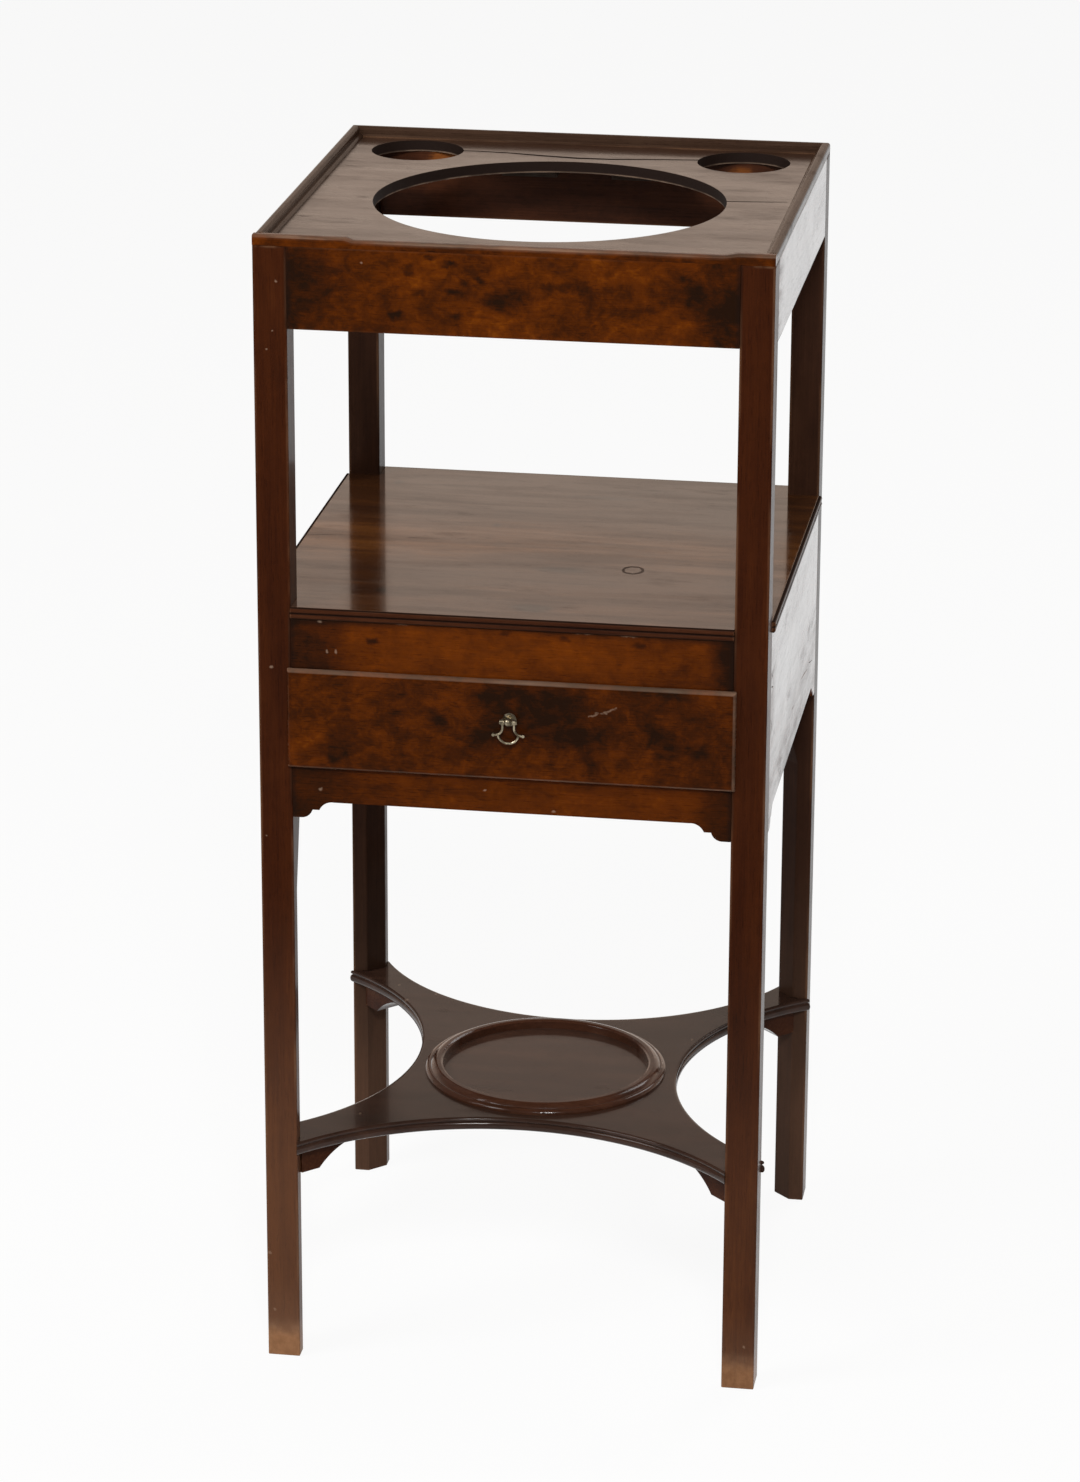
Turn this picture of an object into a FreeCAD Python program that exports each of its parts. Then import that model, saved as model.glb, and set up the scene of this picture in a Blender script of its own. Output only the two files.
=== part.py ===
import FreeCAD, Part
import math
import os
from types import SimpleNamespace

import Sketcher
from FreeCAD import Placement, Rotation, Vector

# Driving dimensions of the washstand, in millimetres, angles in degrees
SIZES = {
    # Frame
    "stand_width": 350,
    "stand_depth": 350,
    "leg_side": 23,
    "leg_height": 815,
    "leg_chamfer": 12,
    "chamfer_stop": 7,
    "chamfer_runout": 50,
    "rail_thickness": 12,
    "back_thickness": 10,
    "tenon_thickness": 5,
    "tenon_shoulder": 5,
    "tenon_gap": 2,
    # Pierced top
    "frieze_height": 56.5,
    "board_thickness": 8,
    "board_rebate": 5,
    "basin_radius": 122,
    "basin_forward": 12,
    "cup_radius": 33,
    "cup_side_inset": 57,
    "cup_inset": 46,
    "bead_width": 10,
    "bead_height": 7,
    "lip_width": 9,
    "lip_height": 7,
    "block_side": 13,
    "block_length": 40,
    "block_spacing": 120,
    # Shelf and drawer case
    "shelf_height": 564,
    "shelf_thickness": 8,
    "nosing_projection": 3,
    "upper_rail_height": 38,
    "drawer_opening": 66,
    "apron_height": 28,
    "bracket_drop": 12,
    "bracket_length": 29,
    "runner_width": 14,
    "runner_height": 12,
    "guide_rise": 16,
    # Drawer
    "drawer_side_gap": 0.5,
    "drawer_top_gap": 1,
    "drawer_running_gap": 0.2,
    "drawer_end_gap": 8,
    "front_thickness": 14,
    "front_lip": 5,
    "front_lip_overlap": 2.5,
    "dovetail_cover": 4,
    "drawer_side_thickness": 7,
    "drawer_side_drop": 6,
    "drawer_back_drop": 4,
    "bottom_thickness": 4,
    "bottom_lift": 5,
    "bottom_groove": 3,
    "nail_radius": 0.9,
    "nail_bite": 12,
    "nail_spacing": 100,
    # Handle
    "handle_rise": 41.3,
    "handle_neck": 1.3,
    "rosette_radius": 4.8,
    "rosette_rim": 3.8,
    "rosette_thickness": 1.5,
    "post_radius": 1.9,
    "ball_radius": 2.8,
    "shank_radius": 1.6,
    "nut_side": 7,
    "nut_thickness": 2.5,
    "shank_tail": 1.5,
    "pin_radius": 1,
    "pin_head_radius": 1.6,
    "pin_head_thickness": 0.7,
    "eye_radius": 2.2,
    "eye_shoulder": 0.1,
    "eye_gap": 0.3,
    "running_clearance": 0.05,
    "bail_wire": 0.8,
    "bail_tip": 1.05,
    "bail_arm_drop": 4.2,
    "bail_arm_radius": 5.2,
    "bail_arm_angle": 102,
    "bail_bow_angle": 164,
    # Undertier
    "undertier_height": 167,
    "undertier_lower": 5.6,
    "undertier_quirk": 0.8,
    "undertier_bead": 2.6,
    "quirk_depth": 1.2,
    "bead_inset": 0.4,
    "undertier_proud": 2.5,
    "undertier_waist": 194,
    "undertier_forward": 12,
    "undertier_housing": 2.5,
    "ring_outer_radius": 88,
    "ring_width": 13,
    "ring_height": 6.5,
    "arm_bracket_length": 58,
    "arm_bracket_height": 18.5,
    "arm_bracket_foot": 15,
    "arm_bracket_tip": 1.5,
    "arm_bracket_thickness": 20,
    # Reach of a cutting solid past the face that it cuts
    "overrun": 5,
}

# Shapes of small profiles, as shares of the sizes that they follow
DIAGONAL_SHARE = math.sqrt(0.5)
BEAD_ROUND_SHARE = 0.36
BEAD_CREST_SHARE = 0.68
BEAD_FOOT_SHARE = 0.30
BEAD_TOE_SHARE = 0.12
REED_FLAT_SHARE = 0.36
REED_ROUND_SHARE = 0.27
BRACKET_FOOT_SHARE = 0.22
BRACKET_STEP_SHARES = (0.47, 0.64)
BRACKET_OVOLO_SHARE = 0.27
BRACKET_CAVETTO_SHARE = 0.34
TAIL_WIDTH_SHARE = 0.56
TAIL_FLARE_SHARE = 0.09
RING_SQUARE_SHARE = 0.18
RING_LOWER_SHARE = 0.24
RING_STEP_SHARE = 0.31
RING_STEP_HEIGHT_SHARE = 0.55
RING_CREST_SHARES = (0.34, 0.14)
RING_INNER_SHARE = 0.80
ARM_CURVE_SHARE = 0.92
ARM_NAIL_SHARE = 0.55
LIP_ROUND_SHARE = 0.3
FRONT_ROUND_SHARE = 0.7
BOW_REACH_SHARE = 0.62
BOW_DROP_SHARE = 0.72

FRONT_TAIL_COUNT = 3
REAR_TAIL_COUNT = 2
BOTTOM_NAIL_COUNT = 3

doc = FreeCAD.newDocument("washstand")
sheet = doc.addObject("Spreadsheet::Sheet", "Sizes")
for row, (alias, number) in enumerate(SIZES.items(), start=1):
    sheet.set(f"A{row}", alias)
    sheet.set(f"B{row}", str(number))
    sheet.setAlias(f"B{row}", alias)
doc.recompute()


class Size:
    """A length with its expression in the sheet and its present value."""

    def __init__(self, text, value):
        self.text = text
        self.value = value

    def joined(self, sign, other, value):
        return Size(f"({self.text} {sign} {other.text})", value)

    def __add__(self, other):
        other = as_size(other)
        return self.joined("+", other, self.value + other.value)

    def __sub__(self, other):
        other = as_size(other)
        return self.joined("-", other, self.value - other.value)

    def __mul__(self, other):
        other = as_size(other)
        return self.joined("*", other, self.value * other.value)

    def __truediv__(self, other):
        other = as_size(other)
        return self.joined("/", other, self.value / other.value)

    def __neg__(self):
        return Size(f"(0 - {self.text})", -self.value)

    __rmul__ = __mul__
    __radd__ = __add__


def as_size(number):
    if isinstance(number, Size):
        return number
    return Size(f"({number!r})", number)


def sine(angle):
    return Size(f"sin({angle.text})", math.sin(math.radians(angle.value)))


def cosine(angle):
    return Size(f"cos({angle.text})", math.cos(math.radians(angle.value)))


size = SimpleNamespace(**{name: Size(f"Sizes.{name}", sheet.get(name)) for name in SIZES})
ZERO = as_size(0)
nodes = []


def node(piece):
    """Keep a finished piece: it is written to the file that its label names."""
    nodes.append(piece)
    return piece


def bind(piece, **lengths):
    for name, length in lengths.items():
        piece.setExpression(name, as_size(length).text)


def place(piece, x, y, z, turn=None):
    if turn is not None:
        piece.Placement = Placement(Vector(), turn)
    for axis, length in zip("xyz", (x, y, z)):
        piece.setExpression(f"Placement.Base.{axis}", as_size(length).text)
    return piece


def about_z(degrees):
    return Rotation(Vector(0, 0, 1), degrees)


def box(name, x, y, z):
    """A board between three pairs of planes."""
    piece = doc.addObject("Part::Box", name)
    bind(piece, Length=x[1] - x[0], Width=y[1] - y[0], Height=z[1] - z[0])
    return place(piece, x[0], y[0], z[0])


def cylinder(name, radius, length, x, y, z, turn=None):
    piece = doc.addObject("Part::Cylinder", name)
    bind(piece, Radius=radius, Height=length)
    return place(piece, x, y, z, turn)


def fuse(name, pieces, refine=True):
    joined = doc.addObject("Part::MultiFuse", name)
    joined.Shapes = pieces
    joined.Refine = refine
    return joined


def group(name, pieces):
    """Separate solids of one kind under one name."""
    together = doc.addObject("Part::Compound", name)
    together.Links = pieces
    return together


def cut(name, base, tools, refine=True):
    """A piece with the room that other pieces need cut out of it."""
    left = doc.addObject("Part::Cut", name)
    left.Base = base
    left.Tool = tools[0] if len(tools) == 1 else group(f"{name}_cutters", tools)
    left.Refine = refine
    return left


def body(name, x=ZERO, y=ZERO, z=ZERO, turn=None):
    return place(doc.addObject("PartDesign::Body", name), x, y, z, turn)


def arc_between(start, end, radius):
    """An arc under a half circle: a positive radius turns left on the way, a negative one right."""
    chord = end - start
    middle = (start + end) / 2
    left = Vector(-chord.y, chord.x, 0).normalize()
    rise = math.sqrt(radius * radius - chord.Length * chord.Length / 4)
    centre = middle + left * math.copysign(rise, radius)
    first, last = (start, end) if radius > 0 else (end, start)
    angles = [math.atan2(point.y - centre.y, point.x - centre.x) for point in (first, last)]
    circle = Part.Circle(centre, Vector(0, 0, 1), abs(radius))
    return Part.ArcOfCircle(circle, *angles)


def outline(part, plane, points, arcs=None):
    """A closed sketch through points in order. arcs gives the radius of each edge that is round."""
    arcs = arcs or {}
    sketch = part.newObject("Sketcher::SketchObject", f"{part.Name}_outline")
    datum = next(face for face in part.Origin.OriginFeatures if face.Role == plane)
    sketch.AttachmentSupport = [(datum, "")]
    sketch.MapMode = "FlatFace"
    places = [(as_size(across), as_size(up)) for across, up in points]
    corners = [Vector(across.value, up.value, 0) for across, up in places]
    edges = len(corners)
    ends = []
    for edge in range(edges):
        start, end = corners[edge], corners[(edge + 1) % edges]
        if edge in arcs:
            sketch.addGeometry(arc_between(start, end, arcs[edge].value), False)
            ends.append((1, 2) if arcs[edge].value > 0 else (2, 1))
        else:
            sketch.addGeometry(Part.LineSegment(start, end), False)
            ends.append((1, 2))
    for edge in range(edges):
        follower = (edge + 1) % edges
        meeting = (edge, ends[edge][1], follower, ends[follower][0])
        sketch.addConstraint(Sketcher.Constraint("Coincident", *meeting))
    for edge, (across, up) in enumerate(places):
        for kind, length in (("DistanceX", across), ("DistanceY", up)):
            constraint = Sketcher.Constraint(kind, -1, 1, edge, ends[edge][0], length.value)
            index = sketch.addConstraint(constraint)
            sketch.setExpression(f"Constraints[{index}]", length.text)
    for edge, radius in arcs.items():
        length = radius if radius.value > 0 else -radius
        index = sketch.addConstraint(Sketcher.Constraint("Radius", edge, length.value))
        sketch.setExpression(f"Constraints[{index}]", length.text)
    return sketch


def pad(part, sketch, length, reverse=False, middle=False):
    feature = part.newObject("PartDesign::Pad", f"{sketch.Name}_pad")
    feature.Profile = sketch
    bind(feature, Length=length)
    feature.Reversed = reverse
    if middle:
        feature.SideType = "Symmetric"
    return feature


def revolve(part, sketch):
    feature = part.newObject("PartDesign::Revolution", f"{sketch.Name}_turned")
    feature.Profile = sketch
    feature.ReferenceAxis = (sketch, ["V_Axis"])
    feature.Angle = 360
    return feature


# Planes that the pieces share
half_width = size.stand_width / 2
half_depth = size.stand_depth / 2
inner_x = half_width - size.leg_side
inner_y = half_depth - size.leg_side
frieze_bottom = size.leg_height - size.frieze_height
board_bottom = size.leg_height - size.board_thickness
shelf_bottom = size.shelf_height - size.shelf_thickness
opening_top = shelf_bottom - size.upper_rail_height
opening_bottom = opening_top - size.drawer_opening
apron_bottom = opening_bottom - size.apron_height
bracket_bottom = apron_bottom - size.bracket_drop
undertier_thickness = size.undertier_lower + size.undertier_quirk + size.undertier_bead
undertier_bottom = size.undertier_height - undertier_thickness
tenon_length = size.leg_side - (size.rail_thickness + size.tenon_thickness) / 2 - size.tenon_gap

SIDES = {"left": -1, "right": 1}
ENDS = {"front": -1, "rear": 1}


def mirrored(sign, near, far):
    """The range from near to far on the side that sign gives, with its lower end first."""
    return (near, far) if sign > 0 else (-far, -near)


def rail_along_x(name, front, thickness, low, high):
    """A board between two legs with a tenon at each end."""
    face = box(f"{name}_board", (-inner_x, inner_x), (front, front + thickness), (low, high))
    return fuse(f"{name}_tenoned", [face, tenon_along_x(name, front, thickness, low, high)])


def tenon_along_x(name, front, thickness, low, high):
    reach = inner_x + tenon_length
    cheek = front + (thickness - size.tenon_thickness) / 2
    height = (low + size.tenon_shoulder, high - size.tenon_shoulder)
    return box(f"{name}_tenons", (-reach, reach), (cheek, cheek + size.tenon_thickness), height)


def tenon_along_y(name, left, thickness, low, high):
    reach = inner_y + tenon_length
    cheek = left + (thickness - size.tenon_thickness) / 2
    height = (low + size.tenon_shoulder, high - size.tenon_shoulder)
    return box(f"{name}_tenons", (cheek, cheek + size.tenon_thickness), (-reach, reach), height)


# Pierced top board, let into the friezes
board_x = half_width - size.rail_thickness + size.board_rebate
board_y = half_depth - size.rail_thickness + size.board_rebate
cup_x = half_width - size.cup_side_inset
cup_y = half_depth - size.cup_inset
hole_depth = size.board_thickness + size.overrun * 2
hole_bottom = board_bottom - size.overrun
board_z = (board_bottom, size.leg_height)
board_blank = box("top_board_blank", (-board_x, board_x), (-board_y, board_y), board_z)
holes = [cylinder("basin_hole", size.basin_radius, hole_depth, ZERO, -size.basin_forward, hole_bottom)]
for side, sign in SIDES.items():
    name = f"{side}_cup_hole"
    holes.append(cylinder(name, size.cup_radius, hole_depth, cup_x * sign, cup_y, hole_bottom))
top_board = node(cut("top_board", board_blank, holes))

# Friezes
friezes = []
tenon_top = board_bottom - size.tenon_shoulder
for end, front in (("front", -half_depth), ("rear", half_depth - size.rail_thickness)):
    name = f"{end}_frieze"
    face_y = (front, front + size.rail_thickness)
    face = box(f"{name}_board", (-inner_x, inner_x), face_y, (frieze_bottom, size.leg_height))
    tenons = tenon_along_x(name, front, size.rail_thickness, frieze_bottom, tenon_top)
    friezes.append(node(cut(name, fuse(f"{name}_tenoned", [face, tenons]), [top_board])))
for side, left in (("left", -half_width), ("right", half_width - size.rail_thickness)):
    name = f"{side}_frieze"
    face_x = (left, left + size.rail_thickness)
    face = box(f"{name}_board", face_x, (-inner_y, inner_y), (frieze_bottom, size.leg_height))
    tenons = tenon_along_y(name, left, size.rail_thickness, frieze_bottom, tenon_top)
    friezes.append(node(cut(name, fuse(f"{name}_tenoned", [face, tenons]), [top_board])))

# Glue blocks in the corner under the board
blocks = []
block_z = (board_bottom - size.block_side, board_bottom)
block_in_x = half_width - size.rail_thickness
block_in_y = half_depth - size.rail_thickness
for end, sign in ENDS.items():
    for side, way in SIDES.items():
        middle = size.block_spacing / 2 * way if end == "front" else size.block_length * way
        along = (middle - size.block_length / 2, middle + size.block_length / 2)
        across = mirrored(sign, block_in_y - size.block_side, block_in_y)
        blocks.append(box(f"{end}_{side}_block", along, across, block_z))
        middle = size.block_spacing / 2 * sign
        along = (middle - size.block_length / 2, middle + size.block_length / 2)
        across = mirrored(way, block_in_x - size.block_side, block_in_x)
        blocks.append(box(f"{side}_{end}_block", across, along, block_z))
node(group("top_glue_blocks", blocks))

# Beads round three sides of the top, mitred at the rear, and the low lip in front
bead_round = size.bead_height * BEAD_ROUND_SHARE
bead_crest = size.bead_width * BEAD_CREST_SHARE
bead_foot = size.bead_height * BEAD_FOOT_SHARE
bead_toe = size.bead_height * BEAD_TOE_SHARE


def bead_outline(part, plane, way):
    """The bead in section, from its outer face inwards."""
    points = [
        (ZERO, ZERO),
        (ZERO, size.bead_height - bead_round),
        (bead_round * way, size.bead_height),
        ((bead_crest - bead_round) * way, size.bead_height),
        (bead_crest * way, size.bead_height - bead_round),
        (bead_crest * way, bead_foot),
        (size.bead_width * way, bead_toe),
        (size.bead_width * way, ZERO),
    ]
    toe_round = size.bead_width - bead_crest
    arcs = {1: -bead_round * way, 3: -bead_round * way, 5: -toe_round * way}
    return outline(part, plane, points, arcs)


def mitre_block(name, x, y, degrees):
    """A block with one face on the mitre, which takes away what lies past it."""
    length = size.bead_width * 2
    piece = doc.addObject("Part::Box", name)
    bind(piece, Length=length, Width=length, Height=size.bead_height)
    return place(piece, x, y, size.leg_height, about_z(degrees))


rear_bead = body("rear_top_bead_length", -half_width, half_depth, size.leg_height)
pad(rear_bead, bead_outline(rear_bead, "YZ_Plane", -1), size.stand_width)
rear_mitres = [
    mitre_block("rear_bead_right_mitre", half_width, half_depth, -135),
    mitre_block("rear_bead_left_mitre", -half_width + size.bead_width, half_depth - size.bead_width, 135),
]
node(cut("rear_top_bead", rear_bead, rear_mitres))
side_bead_length = size.stand_depth - size.lip_width
for side, sign in SIDES.items():
    name = f"{side}_top_bead"
    piece = body(f"{name}_length", half_width * sign, -half_depth + size.lip_width, size.leg_height)
    pad(piece, bead_outline(piece, "XZ_Plane", -sign), side_bead_length, reverse=True)
    if sign > 0:
        mitre = mitre_block(f"{name}_mitre", half_width - size.bead_width, half_depth - size.bead_width, 45)
    else:
        mitre = mitre_block(f"{name}_mitre", -half_width, half_depth, -45)
    node(cut(name, piece, [mitre]))

front_lip = body("front_top_lip", -half_width, -half_depth, size.leg_height)
lip_round = size.lip_height * LIP_ROUND_SHARE
lip_points = [
    (ZERO, ZERO),
    (size.lip_width, ZERO),
    (size.lip_width, size.lip_height - lip_round),
    (size.lip_width - lip_round, size.lip_height),
    (lip_round, size.lip_height),
    (ZERO, size.lip_height - lip_round),
]
lip_sketch = outline(front_lip, "YZ_Plane", lip_points, {2: lip_round, 4: lip_round})
pad(front_lip, lip_sketch, size.stand_width)
node(front_lip)

# Shelf, notched round the legs, with reeded mouldings on three edges
leg_blanks = {}
for end, front in ENDS.items():
    for side, sign in SIDES.items():
        across = mirrored(sign, inner_x, half_width)
        along = mirrored(front, inner_y, half_depth)
        leg_blanks[end, side] = box(f"{end}_{side}_leg_blank", across, along, (ZERO, size.leg_height))
shelf_z = (shelf_bottom, size.shelf_height)
shelf_blank = box("shelf_blank", (-half_width, half_width), (-half_depth, half_depth), shelf_z)
node(cut("shelf_board", shelf_blank, list(leg_blanks.values())))


def reed_outline(part, plane, way):
    """Two reeds, one above the other, standing out from the edge of the shelf."""
    flat = size.nosing_projection * REED_FLAT_SHARE * way
    middle = size.shelf_thickness / 2
    top = size.shelf_thickness
    points = [(ZERO, ZERO), (flat, ZERO), (flat, middle), (flat, top), (ZERO, top)]
    reed = size.shelf_thickness * REED_ROUND_SHARE * way
    return outline(part, plane, points, {1: reed, 2: reed})


front_moulding = body("shelf_front_moulding", -inner_x, -half_depth, shelf_bottom)
pad(front_moulding, reed_outline(front_moulding, "YZ_Plane", -1), inner_x * 2)
node(front_moulding)
for side, sign in SIDES.items():
    moulding = body(f"shelf_{side}_moulding", half_width * sign, -inner_y, shelf_bottom)
    pad(moulding, reed_outline(moulding, "XZ_Plane", sign), inner_y * 2, reverse=True)
    node(moulding)

# Drawer case: upper rail, apron, sides and back
upper_rail = rail_along_x("upper_drawer_rail", -half_depth, size.rail_thickness, opening_top, shelf_bottom)
upper_rail.Label = "upper_drawer_rail"
node(upper_rail)
back_front = half_depth - size.back_thickness
case_back = rail_along_x("case_back", back_front, size.back_thickness, apron_bottom, shelf_bottom)
case_back.Label = "case_back"
node(case_back)


def bracketed_outline(part, plane, half_span, top):
    """A board whose lower edge drops at each end in an ovolo, a step and a cavetto."""
    step_height = bracket_bottom + size.bracket_drop / 2
    foot = half_span - size.bracket_length * BRACKET_FOOT_SHARE
    step_outer = half_span - size.bracket_length * BRACKET_STEP_SHARES[0]
    step_inner = half_span - size.bracket_length * BRACKET_STEP_SHARES[1]
    end = half_span - size.bracket_length
    left_half = [
        (half_span, bracket_bottom),
        (foot, bracket_bottom),
        (step_outer, step_height),
        (step_inner, step_height),
        (end, apron_bottom),
    ]
    points = [(-across, up) for across, up in left_half]
    points += list(reversed(left_half))
    points += [(half_span, top), (-half_span, top)]
    ovolo = size.bracket_length * BRACKET_OVOLO_SHARE
    cavetto = size.bracket_length * BRACKET_CAVETTO_SHARE
    return outline(part, plane, points, {1: ovolo, 3: -cavetto, 5: -cavetto, 7: ovolo})


apron = body("apron_board", ZERO, -half_depth, ZERO)
pad(apron, bracketed_outline(apron, "XZ_Plane", inner_x, opening_bottom), size.rail_thickness, reverse=True)
apron_tenons = tenon_along_x("apron", -half_depth, size.rail_thickness, apron_bottom, opening_bottom)
lower_rail = node(fuse("lower_apron_rail", [apron, apron_tenons]))
case_sides = []
for side, left in (("left", -half_width), ("right", half_width - size.rail_thickness)):
    name = f"{side}_case_side"
    panel = body(f"{name}_board", left, ZERO, ZERO)
    pad(panel, bracketed_outline(panel, "YZ_Plane", inner_y, shelf_bottom), size.rail_thickness)
    tenons = tenon_along_y(name, left, size.rail_thickness, apron_bottom, shelf_bottom)
    case_sides.append(node(fuse(name, [panel, tenons])))

# What the drawer runs on: guides flush with the legs, runners below and kickers above
run = (-half_depth + size.rail_thickness, half_depth - size.back_thickness)
for side, sign in SIDES.items():
    guide_x = mirrored(sign, inner_x, half_width - size.rail_thickness)
    guide_z = (opening_bottom - size.runner_height, opening_bottom + size.guide_rise)
    node(box(f"{side}_drawer_guide", guide_x, (-inner_y, inner_y), guide_z))
    runner_x = mirrored(sign, inner_x - size.runner_width, inner_x)
    node(box(f"{side}_drawer_runner", runner_x, run, (opening_bottom - size.runner_height, opening_bottom)))
    node(box(f"{side}_drawer_kicker", runner_x, run, (opening_top, opening_top + size.runner_height)))

# Undertier: a board with four hollow edges, its waist forward of the middle, moulded in three layers
waist = size.undertier_waist / 2


def hollow_radius(half_chord, depth):
    return (half_chord * half_chord + depth * depth) / (depth * 2)


def undertier_layer(name, inset, low, thickness):
    """One layer of the board: hollow edges between the legs, and corners let into the legs' chamfers."""
    edge_x = half_width + size.undertier_proud - inset
    edge_y = half_depth + size.undertier_proud - inset
    seat = size.leg_chamfer + size.undertier_housing / DIAGONAL_SHARE
    seat_x = inner_x + seat
    seat_y = inner_y + seat
    quarter = [(inner_x, -edge_y), (inner_x, -seat_y), (seat_x, -inner_y), (edge_x, -inner_y)]
    right = quarter + [(across, -up) for across, up in reversed(quarter)]
    points = right + [(-across, -up) for across, up in right]
    side_way = hollow_radius(inner_y, half_width + size.undertier_proud - waist)
    rear_way = hollow_radius(inner_x, half_depth + size.undertier_proud - waist + size.undertier_forward)
    front_way = hollow_radius(inner_x, half_depth + size.undertier_proud - waist - size.undertier_forward)
    arcs = {3: -side_way, 7: -rear_way, 11: -side_way, 15: -front_way}
    layer = body(name, ZERO, ZERO, low)
    pad(layer, outline(layer, "XY_Plane", points, arcs), thickness)
    return layer


quirk_bottom = undertier_bottom + size.undertier_lower
bead_bottom = quirk_bottom + size.undertier_quirk
layers = [
    undertier_layer("undertier_lower_layer", ZERO, undertier_bottom, size.undertier_lower),
    undertier_layer("undertier_quirk_layer", size.quirk_depth, quirk_bottom, size.undertier_quirk),
    undertier_layer("undertier_bead_layer", size.bead_inset, bead_bottom, size.undertier_bead),
]
undertier_whole = fuse("undertier_whole", layers)

# Brackets on the diagonals under the undertier's arms, each with a nail
arm_brackets = {}
nails = []
for (end, side), blank in leg_blanks.items():
    sign, front = SIDES[side], ENDS[end]
    seat_x = (inner_x + size.leg_chamfer / 2) * sign
    seat_y = (inner_y + size.leg_chamfer / 2) * front
    inward = math.degrees(math.atan2(-front, -sign))
    name = f"{end}_{side}_undertier_bracket"
    bracket_low = undertier_bottom - size.arm_bracket_height
    bracket = body(f"{name}_board", seat_x, seat_y, bracket_low, about_z(inward))
    points = [
        (ZERO, ZERO),
        (size.arm_bracket_foot, ZERO),
        (size.arm_bracket_length, size.arm_bracket_height - size.arm_bracket_tip),
        (size.arm_bracket_length, size.arm_bracket_height),
        (ZERO, size.arm_bracket_height),
    ]
    curve = -size.arm_bracket_length * ARM_CURVE_SHARE
    pad(bracket, outline(bracket, "XZ_Plane", points, {1: curve}), size.arm_bracket_thickness, middle=True)
    arm_brackets[name] = bracket
    along = size.arm_bracket_foot * ARM_NAIL_SHARE * DIAGONAL_SHARE
    nail_length = size.arm_bracket_height + undertier_thickness / 2
    nail_x = seat_x - along * sign
    nail_y = seat_y - along * front
    nails.append(cylinder(f"{name}_nail", size.nail_radius, nail_length, nail_x, nail_y, bracket_low))
bracket_nails = node(group("bracket_nails", nails))
for name, bracket in arm_brackets.items():
    node(cut(name, bracket, [bracket_nails]))
undertier_board = node(cut("undertier_board", undertier_whole, [bracket_nails]))

# Turned ring for the ewer's foot
ring = body("undertier_ring", ZERO, -size.undertier_forward, size.undertier_height)
ring_inner = size.ring_outer_radius - size.ring_width
step_height = size.ring_height * RING_STEP_HEIGHT_SHARE
ring_points = [
    (ring_inner, ZERO),
    (size.ring_outer_radius, ZERO),
    (size.ring_outer_radius, size.ring_height * RING_SQUARE_SHARE),
    (size.ring_outer_radius - size.ring_width * RING_LOWER_SHARE, step_height),
    (size.ring_outer_radius - size.ring_width * RING_STEP_SHARE, step_height),
    (ring_inner + size.ring_width * RING_CREST_SHARES[0], size.ring_height),
    (ring_inner + size.ring_width * RING_CREST_SHARES[1], size.ring_height),
    (ring_inner, size.ring_height * RING_INNER_SHARE),
]
ring_round = size.ring_height / 2
ring_sketch = outline(ring, "XZ_Plane", ring_points, {2: ring_round, 4: size.ring_height, 6: ring_round})
revolve(ring, ring_sketch)
node(ring)

# Legs: square, chamfered inside below the case, with a mortise for each tenon
chamfer_top = bracket_bottom - size.chamfer_stop
runout_low = chamfer_top - size.chamfer_runout
let_in = friezes + case_sides + [top_board, undertier_whole, upper_rail, lower_rail, case_back]
for (end, side), blank in leg_blanks.items():
    sign, front = SIDES[side], ENDS[end]
    name = f"{end}_{side}_leg"
    upright = about_z(math.degrees(math.atan2(-front, -sign))) * Rotation(Vector(1, 0, 0), 90)
    depth = size.leg_chamfer * DIAGONAL_SHARE
    spans = [
        ("chamfer", -size.overrun, runout_low, -depth),
        ("runout", runout_low, chamfer_top, ZERO),
    ]
    cutters = []
    for part_name, low, high, upper_depth in spans:
        wedge = doc.addObject("Part::Wedge", f"{name}_{part_name}")
        bind(wedge, Ymin=low, Ymax=high, Xmin=-depth, X2min=upper_depth)
        bind(wedge, Xmax=size.overrun, X2max=size.overrun)
        bind(wedge, Zmin=-size.leg_chamfer, Zmax=size.leg_chamfer)
        bind(wedge, Z2min=-size.leg_chamfer, Z2max=size.leg_chamfer)
        cutters.append(place(wedge, inner_x * sign, inner_y * front, ZERO, upright))
    chamfered = cut(f"{name}_chamfered", blank, cutters)
    for number, piece in enumerate(let_in):
        chamfered = cut(f"{name}_mortise_{number}", chamfered, [piece])
    chamfered.Label = name
    node(chamfered)

# Drawer: sides dovetailed to a lipped front and to the back, and a bottom in grooves
lip_back = -half_depth - size.drawer_running_gap
front_inside = lip_back + size.front_thickness
front_face = lip_back - size.front_lip
drawer_x = inner_x - size.drawer_side_gap
drawer_low = opening_bottom + size.drawer_running_gap
drawer_high = drawer_low + size.drawer_opening - size.drawer_side_drop
drawer_end = half_depth - size.back_thickness - size.drawer_end_gap
bottom_low = drawer_low + size.bottom_lift
bottom_high = bottom_low + size.bottom_thickness
back_high = drawer_high - size.drawer_back_drop
side_inside = drawer_x - size.drawer_side_thickness
tail_end = lip_back + size.dovetail_cover

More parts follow.
